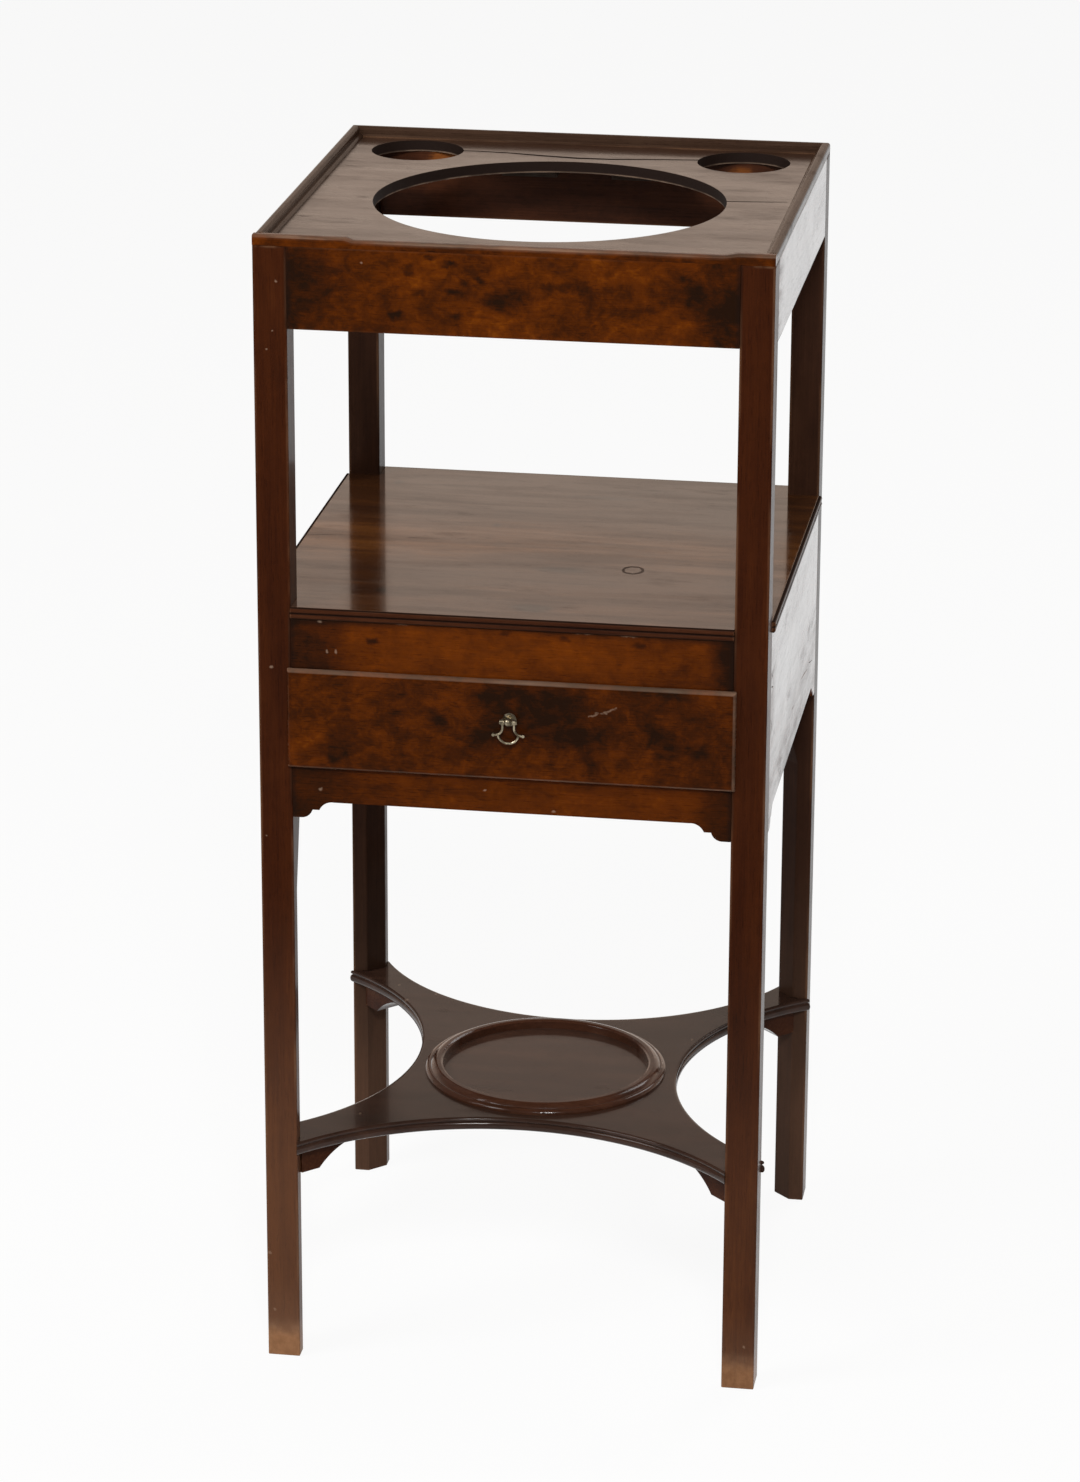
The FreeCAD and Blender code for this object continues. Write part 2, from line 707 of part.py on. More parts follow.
bottom_x = side_inside + size.bottom_groove
bottom_y = (front_inside - size.bottom_groove, drawer_end)
bottom_blank = box("drawer_bottom_blank", (-bottom_x, bottom_x), bottom_y, (bottom_low, bottom_high))
bottom_nails = []
nail_y = drawer_end - size.drawer_side_thickness / 2
nail_length = size.nail_bite + size.bottom_thickness
for number in range(BOTTOM_NAIL_COUNT):
    nail_x = size.nail_spacing * (number - (BOTTOM_NAIL_COUNT - 1) / 2)
    name = f"bottom_nail_{number}"
    bottom_nails.append(cylinder(name, size.nail_radius, nail_length, nail_x, nail_y, bottom_low))
drawer_bottom_nails = node(group("drawer_bottom_nails", bottom_nails))
drawer_bottom = node(cut("drawer_bottom", bottom_blank, [drawer_bottom_nails]))


def tails(shoulder, end, low, high, count):
    """Corners of a row of dovetails, from the low end to the high one."""
    pitch = (high - low) / count
    flare = pitch * TAIL_FLARE_SHARE
    corners = []
    for number in range(count):
        middle = low + pitch * (number * 2 + 1) / 2
        root_low = middle - pitch * TAIL_WIDTH_SHARE / 2
        root_high = middle + pitch * TAIL_WIDTH_SHARE / 2
        corners += [(shoulder, root_low), (end, root_low - flare)]
        corners += [(end, root_high + flare), (shoulder, root_high)]
    return corners


rear_shoulder = drawer_end - size.drawer_side_thickness
drawer_sides = []
for side, sign in SIDES.items():
    name = f"drawer_{side}_side"
    side_x = mirrored(sign, side_inside, drawer_x)
    panel = body(f"{name}_board", side_x[0], ZERO, ZERO)
    front_tails = tails(front_inside, tail_end, drawer_low, drawer_high, FRONT_TAIL_COUNT)
    rear_tails = tails(rear_shoulder, drawer_end, bottom_high, back_high, REAR_TAIL_COUNT)
    points = [(front_inside, drawer_low), (drawer_end, drawer_low), (drawer_end, bottom_high)]
    points += [(rear_shoulder, bottom_high)] + rear_tails + [(rear_shoulder, back_high)]
    points += [(drawer_end, back_high), (drawer_end, drawer_high), (front_inside, drawer_high)]
    points += list(reversed(front_tails))
    pad(panel, outline(panel, "YZ_Plane", points), size.drawer_side_thickness)
    drawer_sides.append(node(cut(name, panel, [drawer_bottom])))
back_y = (rear_shoulder, drawer_end)
back_blank = box("drawer_back_blank", (-drawer_x, drawer_x), back_y, (bottom_high, back_high))
node(cut("drawer_back", back_blank, drawer_sides + [drawer_bottom_nails]))

# Handle: rosette, post with its ball, nut, pin, and the bail that swings on the pin
pivot_y = front_face - size.rosette_thickness - size.handle_neck - size.ball_radius
pivot_z = opening_bottom + size.handle_rise
along_y = Rotation(Vector(1, 0, 0), -90)
along_x = Rotation(Vector(0, 1, 0), 90)
shank_end = front_inside + size.nut_thickness + size.shank_tail
eye_thickness = (size.bail_wire + size.eye_shoulder) * 2
eye_middle = size.ball_radius + size.eye_gap + eye_thickness / 2
pin_reach = eye_middle + eye_thickness / 2 + size.eye_gap

pin_wire = cylinder("handle_pin_wire", size.pin_radius, pin_reach * 2, -pin_reach, pivot_y, pivot_z, along_x)
pin_parts = [pin_wire]
head_starts = {"left": -pin_reach - size.pin_head_thickness, "right": pin_reach}
for side, start in head_starts.items():
    head = doc.addObject("Part::Cylinder", f"handle_pin_{side}_head")
    bind(head, Radius=size.pin_head_radius, Height=size.pin_head_thickness)
    pin_parts.append(place(head, start, pivot_y, pivot_z, along_x))
handle_pin = node(fuse("handle_pin", pin_parts))

ball = doc.addObject("Part::Sphere", "handle_ball")
bind(ball, Radius=size.ball_radius)
place(ball, ZERO, pivot_y, pivot_z)
neck_start = front_face - size.rosette_thickness
neck = cylinder("handle_neck", size.post_radius, neck_start - pivot_y, ZERO, pivot_y, pivot_z, along_y)
shank = cylinder("handle_shank", size.shank_radius, shank_end - pivot_y, ZERO, pivot_y, pivot_z, along_y)
post_whole = fuse("handle_post_whole", [ball, neck, shank])
handle_post = node(cut("handle_post", post_whole, [handle_pin]))

rosette_blank = doc.addObject("Part::Cone", "handle_rosette_blank")
bind(rosette_blank, Radius1=size.rosette_rim, Radius2=size.rosette_radius, Height=size.rosette_thickness)
place(rosette_blank, ZERO, neck_start, pivot_z, along_y)
node(cut("handle_rosette", rosette_blank, [post_whole]))
nut_half = size.nut_side / 2
nut_y = (front_inside, front_inside + size.nut_thickness)
nut_z = (pivot_z - nut_half, pivot_z + nut_half)
nut_blank = box("handle_nut_blank", (-nut_half, nut_half), nut_y, nut_z)
node(cut("handle_nut", nut_blank, [post_whole]))


def bent_wire(name, radius, start, sweep, x, z, sign):
    """A bent length of the bail's wire, on the side that sign gives."""
    wire = doc.addObject("Part::Torus", name)
    bind(wire, Radius1=radius, Radius2=size.bail_wire, Angle3=sweep)
    facing = about_z(0 if sign > 0 else 180)
    upright = facing * Rotation(Vector(1, 0, 0), 90) * about_z(start)
    return place(wire, x, pivot_y, z, upright)


bail_parts = []
arm_top = pivot_z - size.bail_arm_drop
arm_root = pivot_z - (size.eye_radius + size.pin_radius) / 2
arm_centre = eye_middle + size.bail_arm_radius
bow_radius = eye_middle + size.bail_arm_radius * BOW_REACH_SHARE
bow_z = arm_top - size.bail_arm_radius * BOW_DROP_SHARE
hole_radius = size.pin_radius + size.running_clearance
hole_reach = pin_reach + size.overrun
for side, sign in SIDES.items():
    eye_start = eye_middle * sign - eye_thickness / 2
    eye = doc.addObject("Part::Cylinder", f"{side}_eye")
    bind(eye, Radius=size.eye_radius, Height=eye_thickness)
    bail_parts.append(place(eye, eye_start, pivot_y, pivot_z, along_x))
    root_length = arm_root - arm_top
    root = cylinder(f"{side}_arm_root", size.bail_wire, root_length, eye_middle * sign, pivot_y, arm_top)
    bail_parts.append(root)
    arm_x = arm_centre * sign
    arm = bent_wire(f"{side}_arm", size.bail_arm_radius, 180, size.bail_arm_angle, arm_x, arm_top, sign)
    bail_parts.append(arm)
    tip_x = (arm_centre - size.bail_arm_radius * cosine(size.bail_arm_angle)) * sign
    tip_z = arm_top - size.bail_arm_radius * sine(size.bail_arm_angle)
    tip_y = pivot_y - size.bail_tip
    bail_parts.append(cylinder(f"{side}_tip", size.bail_tip, size.bail_tip * 2, tip_x, tip_y, tip_z, along_y))
    half_bow = bent_wire(f"{side}_bow", bow_radius, 270, size.bail_bow_angle / 2, ZERO, bow_z, sign)
    bail_parts.append(half_bow)
bail_whole = fuse("bail_whole", bail_parts, refine=False)
eye_hole = cylinder("eye_hole", hole_radius, hole_reach * 2, -hole_reach, pivot_y, pivot_z, along_x)
node(cut("handle_bail", bail_whole, [eye_hole], refine=False))

# Drawer front: a block in the opening, with a rounded lip that covers the joint
front = body("drawer_front_board", ZERO, lip_back, ZERO)
lip_x = inner_x + size.front_lip_overlap
lip_z = (opening_bottom - size.front_lip_overlap, opening_top + size.front_lip_overlap)
lip_corners = [(-lip_x, lip_z[0]), (lip_x, lip_z[0]), (lip_x, lip_z[1]), (-lip_x, lip_z[1])]
lip_pad = pad(front, outline(front, "XZ_Plane", lip_corners), size.front_lip)
doc.recompute()
lip_faces = lip_pad.Shape.Faces
foremost = min(range(len(lip_faces)), key=lambda number: lip_faces[number].CenterOfMass.y)
lip_edge = front.newObject("PartDesign::Fillet", "drawer_front_lip_edge")
lip_edge.Base = (lip_pad, [f"Face{foremost + 1}"])
bind(lip_edge, Radius=size.front_lip * FRONT_ROUND_SHARE)
block_top = opening_top - size.drawer_top_gap
block_corners = [(-drawer_x, drawer_low), (drawer_x, drawer_low)]
block_corners += [(drawer_x, block_top), (-drawer_x, block_top)]
block_pad = pad(front, outline(front, "XZ_Plane", block_corners), size.front_thickness, reverse=True)
front.Tip = block_pad
node(cut("drawer_front", front, drawer_sides + [drawer_bottom, post_whole]))

doc.recompute()

# Nothing is written unless every object computed and every piece is sound
faults = [item.Name for item in doc.Objects if {"Invalid", "Error"} & set(item.State)]
for piece in nodes:
    if piece.Shape.isNull() or not piece.Shape.isValid() or not piece.Shape.Solids:
        faults.append(piece.Label)
if faults:
    raise RuntimeError("failed: " + ", ".join(faults))
os.makedirs("parts", exist_ok=True)
for piece in nodes:
    piece.Shape.exportStep(f"parts/{piece.Label}.step")
    print(f"{piece.Label}: {len(piece.Shape.Solids)} solid, {piece.Shape.Volume:.0f} cubic mm")
print(len(nodes), "pieces written")
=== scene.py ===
# %% [markdown]
# This lesson dresses an old mahogany washstand: a small square stand with a hole for a basin,
# two holes for cups, a shelf, one drawer and a low platform for the water jug.
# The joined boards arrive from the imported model, each as its own object, already in place.
# Blender adds what a drawing of the joinery leaves out: softened edges, cracks, grain, wear and light.

# %% Load the joined boards
import math

import bmesh
import bpy
from mathutils import Matrix, Vector, noise


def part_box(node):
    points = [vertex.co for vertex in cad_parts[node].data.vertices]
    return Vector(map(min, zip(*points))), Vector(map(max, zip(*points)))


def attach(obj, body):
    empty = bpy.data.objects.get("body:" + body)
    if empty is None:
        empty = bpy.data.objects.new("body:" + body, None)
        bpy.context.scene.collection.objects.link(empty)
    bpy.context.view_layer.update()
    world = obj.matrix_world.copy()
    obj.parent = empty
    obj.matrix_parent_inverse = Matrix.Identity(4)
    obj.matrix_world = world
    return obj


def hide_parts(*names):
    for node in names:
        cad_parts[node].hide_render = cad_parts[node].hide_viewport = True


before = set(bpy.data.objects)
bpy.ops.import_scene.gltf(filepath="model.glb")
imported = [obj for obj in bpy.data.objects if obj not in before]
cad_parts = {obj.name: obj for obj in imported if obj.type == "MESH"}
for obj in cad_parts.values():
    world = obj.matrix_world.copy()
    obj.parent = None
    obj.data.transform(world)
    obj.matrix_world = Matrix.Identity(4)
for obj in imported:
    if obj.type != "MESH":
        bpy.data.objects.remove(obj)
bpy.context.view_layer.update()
boards = dict(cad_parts)
MM = 0.001

# %% [markdown]
# The camera stands a little to the right of the stand and above it, far away with a long lens,
# which keeps the upright legs nearly parallel as in the picture.
# Its place was worked out from the corners of the stand, so nothing here is adjusted by eye.

# %% Camera
camera = bpy.data.objects.new("camera", bpy.data.cameras.new("camera"))
bpy.context.scene.collection.objects.link(camera)
camera.location = (0.515, -3.349, 1.598)
turn = Matrix.Rotation(math.radians(8.86), 3, "Z")
tilt = Matrix.Rotation(math.radians(70.77), 3, "X")
roll = Matrix.Rotation(math.radians(0.25), 3, "Z")
camera.rotation_euler = (turn @ tilt @ roll).to_euler()
camera.data.lens = 121.4
camera.data.sensor_width = 36
bpy.context.scene.camera = camera
bpy.context.scene.view_settings.view_transform = "Standard"
print("camera to stand:", round(camera.location.length, 2), "m")

# %% [markdown]
# Every finish below is a sum of masks and noises. Wiring those by hand is slow to read,
# so one small class wraps a socket and lets Python's own signs add the Math nodes.
# `1 - mask` works too, because the reversed forms of the signs are written as well.

# %% Sockets that can be added and multiplied
class Wire:
    """An output socket of a finish. Arithmetic on it adds Math nodes to that finish."""

    def __init__(self, finish, socket):
        self.finish = finish
        self.socket = socket

    def maths(self, operation, first, second):
        return self.finish.node("Math", {"operation": operation}, {0: first, 1: second})

    def __add__(self, other):
        return self.maths("ADD", self, other)

    def __sub__(self, other):
        return self.maths("SUBTRACT", self, other)

    def __rsub__(self, other):
        return self.maths("SUBTRACT", other, self)

    def __mul__(self, other):
        return self.maths("MULTIPLY", self, other)

    def __abs__(self):
        return self.maths("ABSOLUTE", self, 0)

    __radd__ = __add__
    __rmul__ = __mul__

    def least(self, other):
        return self.maths("MINIMUM", self, other)

    def most(self, other):
        return self.maths("MAXIMUM", self, other)

    def between(self, low, high):
        """0 at low, 1 at high, with soft ends; low may be the larger one."""
        limits = {"Value": self, "From Min": low, "From Max": high}
        return self.finish.node("MapRange", {"interpolation_type": "SMOOTHSTEP"}, limits)


class Finish:
    """The nodes of a material or a world while they are being made, with one way to add any node."""

    def __init__(self, owner):
        self.owner = owner
        owner.use_nodes = True
        self.tree = owner.node_tree
        self.tree.nodes.clear()

    def node(self, kind, settings=None, sockets=None, give=0):
        made = self.tree.nodes.new("ShaderNode" + kind)
        for key, value in (settings or {}).items():
            if key == "stops":
                self.set_stops(made.color_ramp.elements, value)
            else:
                setattr(made, key, value)
        for key, value in (sockets or {}).items():
            if isinstance(value, Wire):
                self.tree.links.new(value.socket, made.inputs[key])
            else:
                made.inputs[key].default_value = value
        return Wire(self, made.outputs[give]) if made.outputs else made

    def set_stops(self, elements, stops):
        while len(elements) < len(stops):
            elements.new(1)
        for element, (place, colour) in zip(elements, stops):
            element.position = place
            element.color = (*colour, 1)

    def vector(self, operation, *values):
        return self.node("VectorMath", {"operation": operation}, dict(enumerate(values)))

    def length(self, value):
        return self.node("VectorMath", {"operation": "LENGTH"}, {0: value}, give=1)

    def colour(self, mask, under, over):
        """under where mask is 0, over where it is 1."""
        sides = [c if isinstance(c, Wire) else (*c, 1) for c in (under, over)]
        return self.node("Mix", {"data_type": "RGBA"}, {0: mask, 6: sides[0], 7: sides[1]}, give=2)

    def noise(self, where, scale, detail=2.0, roughness=0.5, distortion=0.0):
        values = {"Vector": where, "Scale": scale, "Detail": detail}
        values.update({"Roughness": roughness, "Distortion": distortion})
        return self.node("TexNoise", None, values)

    def axis(self, where, index):
        return self.node("SeparateXYZ", None, {0: where}, give=index)

    def surface(self, shader):
        self.node("OutputMaterial", None, {"Surface": shader})
        return self.owner


print("a finish is built from wires: + - * abs, least, most, between")

# %% [markdown]
# The stand was shot on a white paper sheet. The sheet ends a little in front of the stand, so the
# front boards mirror a pale grey studio floor and keep their deep red.
# A floor lit to pure white would need lamps that also bleach the wood, so the paper is
# white by itself to the lens and to reflections, and keeps a share of the real shadow.

# %% Floor
PAPER_FRONT = -0.42
PAPER_FADE = 0.55
FLOOR_REACH = 120.0
PAPER_WHITE_SHARE = 0.92
STUDIO_FLOOR = (0.8, 0.8, 0.8)
PAPER_GLOW = (1, 1, 1)


def floor_sheet():
    shape = bmesh.new()
    corners = [(-FLOOR_REACH, -FLOOR_REACH), (FLOOR_REACH, -FLOOR_REACH)]
    corners += [(FLOOR_REACH, FLOOR_REACH), (-FLOOR_REACH, FLOOR_REACH)]
    shape.faces.new([shape.verts.new((x, y, 0)) for x, y in corners])
    mesh = bpy.data.meshes.new("floor")
    shape.to_mesh(mesh)
    shape.free()
    return bpy.data.objects.new("floor", mesh)


def paper_finish():
    paper = Finish(bpy.data.materials.new("white_paper"))
    y = paper.axis(paper.node("TexCoord", None, None, give="Object"), 1)
    on_paper = y.between(PAPER_FRONT - PAPER_FADE, PAPER_FRONT)
    lit = paper.node("BsdfDiffuse", None, {"Color": (*STUDIO_FLOOR, 1)})
    glow = paper.colour(on_paper, STUDIO_FLOOR, PAPER_GLOW)
    white = paper.node("Emission", None, {"Color": glow, "Strength": 1})
    rays = [paper.node("LightPath", None, None, give=name)
            for name in ("Is Camera Ray", "Is Glossy Ray", "Is Transmission Ray")]
    seen = rays[0].most(rays[1]).most(rays[2])
    return paper.surface(paper.node("MixShader", None, {0: seen * PAPER_WHITE_SHARE, 1: lit, 2: white}))


floor = floor_sheet()
bpy.context.scene.collection.objects.link(floor)
floor.data.materials.append(paper_finish())
print("floor:", 2 * FLOOR_REACH, "m square, white behind y =", PAPER_FRONT)

# %% [markdown]
# The flat boards, seen at a low angle, mirror the studio behind the stand, and that gives the top
# and the shelf their warm grey sheen. A world that is warm and bright low down behind the stand,
# and dim elsewhere, does the same. A picture of a studio would do it too, but two blends of the
# view direction are plainer and read nothing from disk.

# %% Surroundings
STUDIO_DIM = (0.11, 0.11, 0.11)
STUDIO_BEHIND = (0.88, 0.7, 0.575)
REAR_BLEND = (-0.2, 0.75)
LOW_BLEND = (0.5, 0.25)
HIGH_SHARE = 0.2


def surroundings():
    studio = Finish(bpy.data.worlds.new("studio"))
    direction = studio.node("TexCoord", None, None, give="Generated")
    behind = studio.axis(direction, 1).between(*REAR_BLEND)
    low_down = studio.axis(direction, 2).between(*LOW_BLEND)
    share = behind * (HIGH_SHARE + low_down * (1 - HIGH_SHARE))
    shade = studio.colour(share, STUDIO_DIM, STUDIO_BEHIND)
    studio.node("OutputWorld", None, {0: studio.node("Background", None, {0: shade, 1: 1})})
    return studio.owner


bpy.context.scene.world = surroundings()
print("world:", bpy.context.scene.world.name)

# %% [markdown]
# Soft lamps do the rest: a small softbox above the camera, whose bright patch shows on the round
# ring of the platform, a large one at the upper left, which reaches through the cup holes, and
# a weak one behind for the back. Their power is set so that a board facing the camera
# shows about its written colour.

# %% Lamps
def softbox(name, place, aim, side, power):
    lamp = bpy.data.objects.new(name, bpy.data.lights.new(name, "AREA"))
    lamp.data.shape = "SQUARE"
    lamp.data.size = side
    lamp.data.energy = power
    lamp.location = place
    lamp.rotation_euler = (Vector(aim) - Vector(place)).to_track_quat("-Z", "Y").to_euler()
    bpy.context.scene.collection.objects.link(lamp)


softbox("key_softbox", place=(0.55, -3.1, 2.9), aim=(0, 0, 0.45), side=0.7, power=101)
softbox("left_softbox", place=(-2.1, -1.5, 2.3), aim=(0, 0, 0.5), side=1.3, power=50)
softbox("rear_softbox", place=(1.7, 2.6, 2.9), aim=(0, 0, 0.45), side=1.5, power=30)

# %% [markdown]
# Two centuries of hands have rounded every edge of the stand by a fraction of a millimetre, and
# that thin rounding is what catches the light along each board. The meshes come from the drawing
# as loose triangles, so modifiers go on: Weld joins the triangles and Bevel rounds the sharp
# edges. Filing each edge by hand in the mesh would do the same, with far more work.

# %% Worn edges
# Millimetres, by the last word of a board's name.
EDGE_WIDTHS = {"leg": 0.8, "frieze": 0.25, "rail": 0.25, "side": 0.3, "board": 0.3, "front": 0.3}
WELD_REACH = 0.01
BEVEL_FROM_ANGLE = 35


def wear_edges(board, width_mm):
    weld = board.modifiers.new("join_triangles", "WELD")
    weld.merge_threshold = WELD_REACH * MM
    bevel = board.modifiers.new("worn_edge", "BEVEL")
    bevel.width = width_mm * MM
    bevel.segments = 2
    bevel.limit_method = "ANGLE"
    bevel.angle_limit = math.radians(BEVEL_FROM_ANGLE)
    bevel.use_clamp_overlap = False
    shading = board.modifiers.new("even_shading", "WEIGHTED_NORMAL")
    shading.keep_sharp = True


for name, board in boards.items():
    width = EDGE_WIDTHS.get(name.split("_")[-1])
    if width:
        wear_edges(board, width)
print("rounded:", sum(1 for b in boards.values() if b.modifiers))

# %% [markdown]
# The top has shrunk and split: an open joint runs from cup hole to cup hole, and a short crack
# leaves the basin hole on the right. The right side has old scratches. A dark line of paint would
# look flat from the side, so each one is really cut, by a thin wedge that follows its path.

# %% Cracks and scratches
SAME_POINT = 0.001
SMOOTH_UP_TO = 40
CUTTER_LIFT = 0.4


def mesh_piece(name, shape):
    """A new object from points and faces in millimetres; points that coincide become one."""
    bmesh.ops.remove_doubles(shape, verts=shape.verts, dist=SAME_POINT)
    bmesh.ops.recalc_face_normals(shape, faces=shape.faces)
    mesh = bpy.data.meshes.new(name)
    shape.to_mesh(mesh)
    shape.free()
    mesh.transform(Matrix.Scale(MM, 4))
    mesh.shade_smooth()
    mesh.set_sharp_from_angle(angle=math.radians(SMOOTH_UP_TO))
    piece = bpy.data.objects.new(name, mesh)
    bpy.context.scene.collection.objects.link(piece)
    return piece


def join_rows(shape, rows, closed):
    """Faces between neighbouring rows of points; a closed row joins its end to its start."""
    count = len(rows[0])
    for first, second in zip(rows, rows[1:]):
        for i in range(count if closed else count - 1):
            j = (i + 1) % count
            shape.faces.new((first[i], first[j], second[j], second[i]))


def wedge(path, depth_mm, face_mm, upright=False):
    """A sharp-bottomed cutter along a path.

    A path holds (x, y, width) on a board's top or, where it is upright, (y, z, width) on its right side.
    """
    shape = bmesh.new()
    rows = []
    lip = face_mm + CUTTER_LIFT
    for i, (x, y, width) in enumerate(path):
        before = path[max(i - 1, 0)]
        after = path[min(i + 1, len(path) - 1)]
        way = Vector((after[0] - before[0], after[1] - before[1])).normalized()
        aside = Vector((-way.y, way.x)) * width / 2
        ring = [(x + aside.x, y + aside.y, lip), (x - aside.x, y - aside.y, lip)]
        ring.append((x, y, face_mm - depth_mm))
        if upright:
            ring = [(out, u, v) for u, v, out in ring]
        rows.append([shape.verts.new(point) for point in ring])
    join_rows(shape, rows, closed=True)
    shape.faces.new(rows[0])
    shape.faces.new(rows[-1])
    return mesh_piece("wedge", shape)


def stand_in(piece, name):
    """The new piece takes the place of the board of that name."""
    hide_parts(name)
    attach(piece, "stand")
    boards[name] = piece


def carve(name, cutters):
    piece = bpy.data.objects.new(name + "_worn", boards[name].data.copy())
    bpy.context.scene.collection.objects.link(piece)
    wear_edges(piece, EDGE_WIDTHS["board"])
    for cutter in cutters:
        split = piece.modifiers.new("split", "BOOLEAN")
        split.operation = "DIFFERENCE"
        split.solver = "EXACT"
        split.object = cutter
    worn = piece.evaluated_get(bpy.context.evaluated_depsgraph_get())
    carved = bpy.data.meshes.new_from_object(worn)
    piece.modifiers.clear()
    piece.data = carved
    for cutter in cutters:
        bpy.data.objects.remove(cutter)
    stand_in(piece, name)
    return piece


TOP_Z = 815.0
SHELF_Z = 564.0
SIDE_X = 175.0
OPEN_JOINT = [(-88, 132.5, 2.6), (-75, 133, 2.8), (-52, 131, 3.2), (-26, 126, 4.4), (-1, 122.5, 4.8),
              (24, 123, 4.4), (48, 127, 3.4), (88, 132, 2.8)]
SHORT_CRACK = [(118, 5.5, 2.4), (136, 7.6, 2.3), (150, 9.2, 2.0), (162, 11, 1.2)]
DENTS = [[(-163, -87.5, 0.6), (-158, -87, 2.6), (-152, -86, 0.6)],
         [(-134, -25, 0.6), (-129, -24, 2.4), (-124, -24, 0.6)]]
SIDE_SCRATCHES = [[(-151, 527, 0.6), (-141, 521, 1.6), (-136, 514, 0.8)],
                  [(-139, 513.5, 0.6), (-143, 514.5, 1.6), (-149, 516, 0.8)],
                  [(-150, 493, 0.6), (-143, 487, 1.8), (-150, 482, 0.8)],
                  [(50, 455.7, 0.6), (72, 453, 1.6), (94, 449.3, 0.8)],
                  [(104, 451, 0.6), (112, 448.8, 1.5), (128, 445.3, 0.6)],
                  [(-9, 452.8, 0.6), (-3.8, 452.5, 1.4), (2, 452, 0.6)]]
SHELF_JOINT = [(-176, -8, 1.0), (-162, -5, 0.9), (-147, -3, 0.3)]
top_cutters = [wedge(OPEN_JOINT, depth_mm=5.0, face_mm=TOP_Z)]
top_cutters.append(wedge(SHORT_CRACK, depth_mm=3.5, face_mm=TOP_Z))
top_cutters += [wedge(dent, depth_mm=0.7, face_mm=TOP_Z) for dent in DENTS]
cracked_top = carve("top_board", top_cutters)
shelf_cutters = [wedge(SHELF_JOINT, depth_mm=1.2, face_mm=SHELF_Z)]
cracked_shelf = carve("shelf_board", shelf_cutters)
side_cutters = [wedge(path, depth_mm=0.9, face_mm=SIDE_X, upright=True) for path in SIDE_SCRATCHES]
carve("right_case_side", side_cutters)
print("split boards:", len(cracked_top.data.polygons), "and", len(cracked_shelf.data.polygons), "faces")

# %% [markdown]
# The thin lip along the front of the top is a strip with rounded upper corners, and most of its
# length has been knocked down by a millimetre and a half. A sweep shows this well:
# the same outline is set again and again along the strip, a little lower where it is damaged.

# %% Front lip
LIP_OUTLINE = [(-175, 815), (-175, 820.3), (-174.7, 821.2), (-174.1, 821.7), (-173.2, 822), (-168, 822),
               (-166.8, 821.6), (-166.2, 820.8), (-166, 819.8), (-166, 815)]
LIP_FOOT = 816.0
LIP_END = 175
LIP_STEP = 2.5
DAMAGE_FROM = -112
DAMAGE_TO = 150
DAMAGE_RAMPS = (4, 9)
DAMAGE_SHARE = 0.27
NICK_SHARE = 0.05
NICK_PITCH = 0.09
NICK_ROW = 3.1


def knocked_down(x):
    """How much of the nose is left at x, as a share."""
    into = min(max((x - DAMAGE_FROM) / DAMAGE_RAMPS[0], 0), 1)
    into = into * min(max((DAMAGE_TO - x) / DAMAGE_RAMPS[1], 0), 1)
    nick = noise.noise(Vector((x * NICK_PITCH, NICK_ROW, 0))) * NICK_SHARE
    return 1 - DAMAGE_SHARE * into - abs(nick)


def swept_lip():
    shape = bmesh.new()
    rows = []
    count = round(2 * LIP_END / LIP_STEP)
    for i in range(count + 1):
        x = -LIP_END + i * LIP_STEP
        left = knocked_down(x)
        row = [(x, y, z if z <= LIP_FOOT else LIP_FOOT + (z - LIP_FOOT) * left) for y, z in LIP_OUTLINE]
        rows.append([shape.verts.new(point) for point in row])
    join_rows(shape, rows, closed=True)
    shape.faces.new(rows[0])
    shape.faces.new(rows[-1])
    return mesh_piece("front_top_lip_worn", shape)


stand_in(swept_lip(), "front_top_lip")
print("lip drops to", round(knocked_down(0), 2), "of its nose in the middle")

# %% [markdown]
# The platform's edge is a soft nose with a thin bead over it, parted by a narrow quirk. The same
# way of working serves here: one outline in plan, set in by a little more or less at each
# height, and the rows joined. The plan has four hollows between the legs and a notch at each leg.
# The front hollow is the shallowest, as the ring for the jug sits forward, right under the basin.

# %% Platform edge
LEG_INNER = 152.0
NOTCH = 167.5
PROUD = 177.5
WAISTS = (97.0, 85.0, 97.0, 109.0)
HOLLOW_STEPS = 48
# How far the edge is set in, and at what height.
NOSE = [(3, 158), (1.5, 158), (0.5, 158.7), (0.05, 160), (0.05, 161.5), (0.5, 162.9), (1.3, 163.6),
        (1.8, 163.8), (1.8, 164.2), (1.1, 164.4), (0.5, 165), (0.45, 165.8), (0.9, 166.6),
        (1.8, 167), (3, 167)]


def platform_plan(inset):
    """Points round the platform: for each quarter a notch for the leg, then the hollow to the next leg."""
    points = []
    for turn_count, waist in enumerate(WAISTS):
        depth = PROUD - waist
        radius = (LEG_INNER ** 2 + depth ** 2) / (2 * depth)
        reach = math.asin(LEG_INNER / radius)
        quarter = [(LEG_INNER, -PROUD + inset), (LEG_INNER, -NOTCH), (NOTCH, -LEG_INNER)]
        quarter.append((PROUD - inset, -LEG_INNER))
        for i in range(1, HOLLOW_STEPS):
            angle = reach * (2 * i / HOLLOW_STEPS - 1)
            quarter.append((waist + radius - radius * math.cos(angle) - inset, radius * math.sin(angle)))
        quarter_turn = Matrix.Rotation(math.radians(90 * turn_count), 2)
        points += [quarter_turn @ Vector(point) for point in quarter]
    return points


def nosed_platform():
    shape = bmesh.new()
    rows = []
    for inset, z in NOSE:
        rows.append([shape.verts.new((x, y, z)) for x, y in platform_plan(inset)])
    join_rows(shape, rows, closed=True)
    shape.faces.new(rows[0])
    shape.faces.new(rows[-1])
    return mesh_piece("undertier_board_nosed", shape)


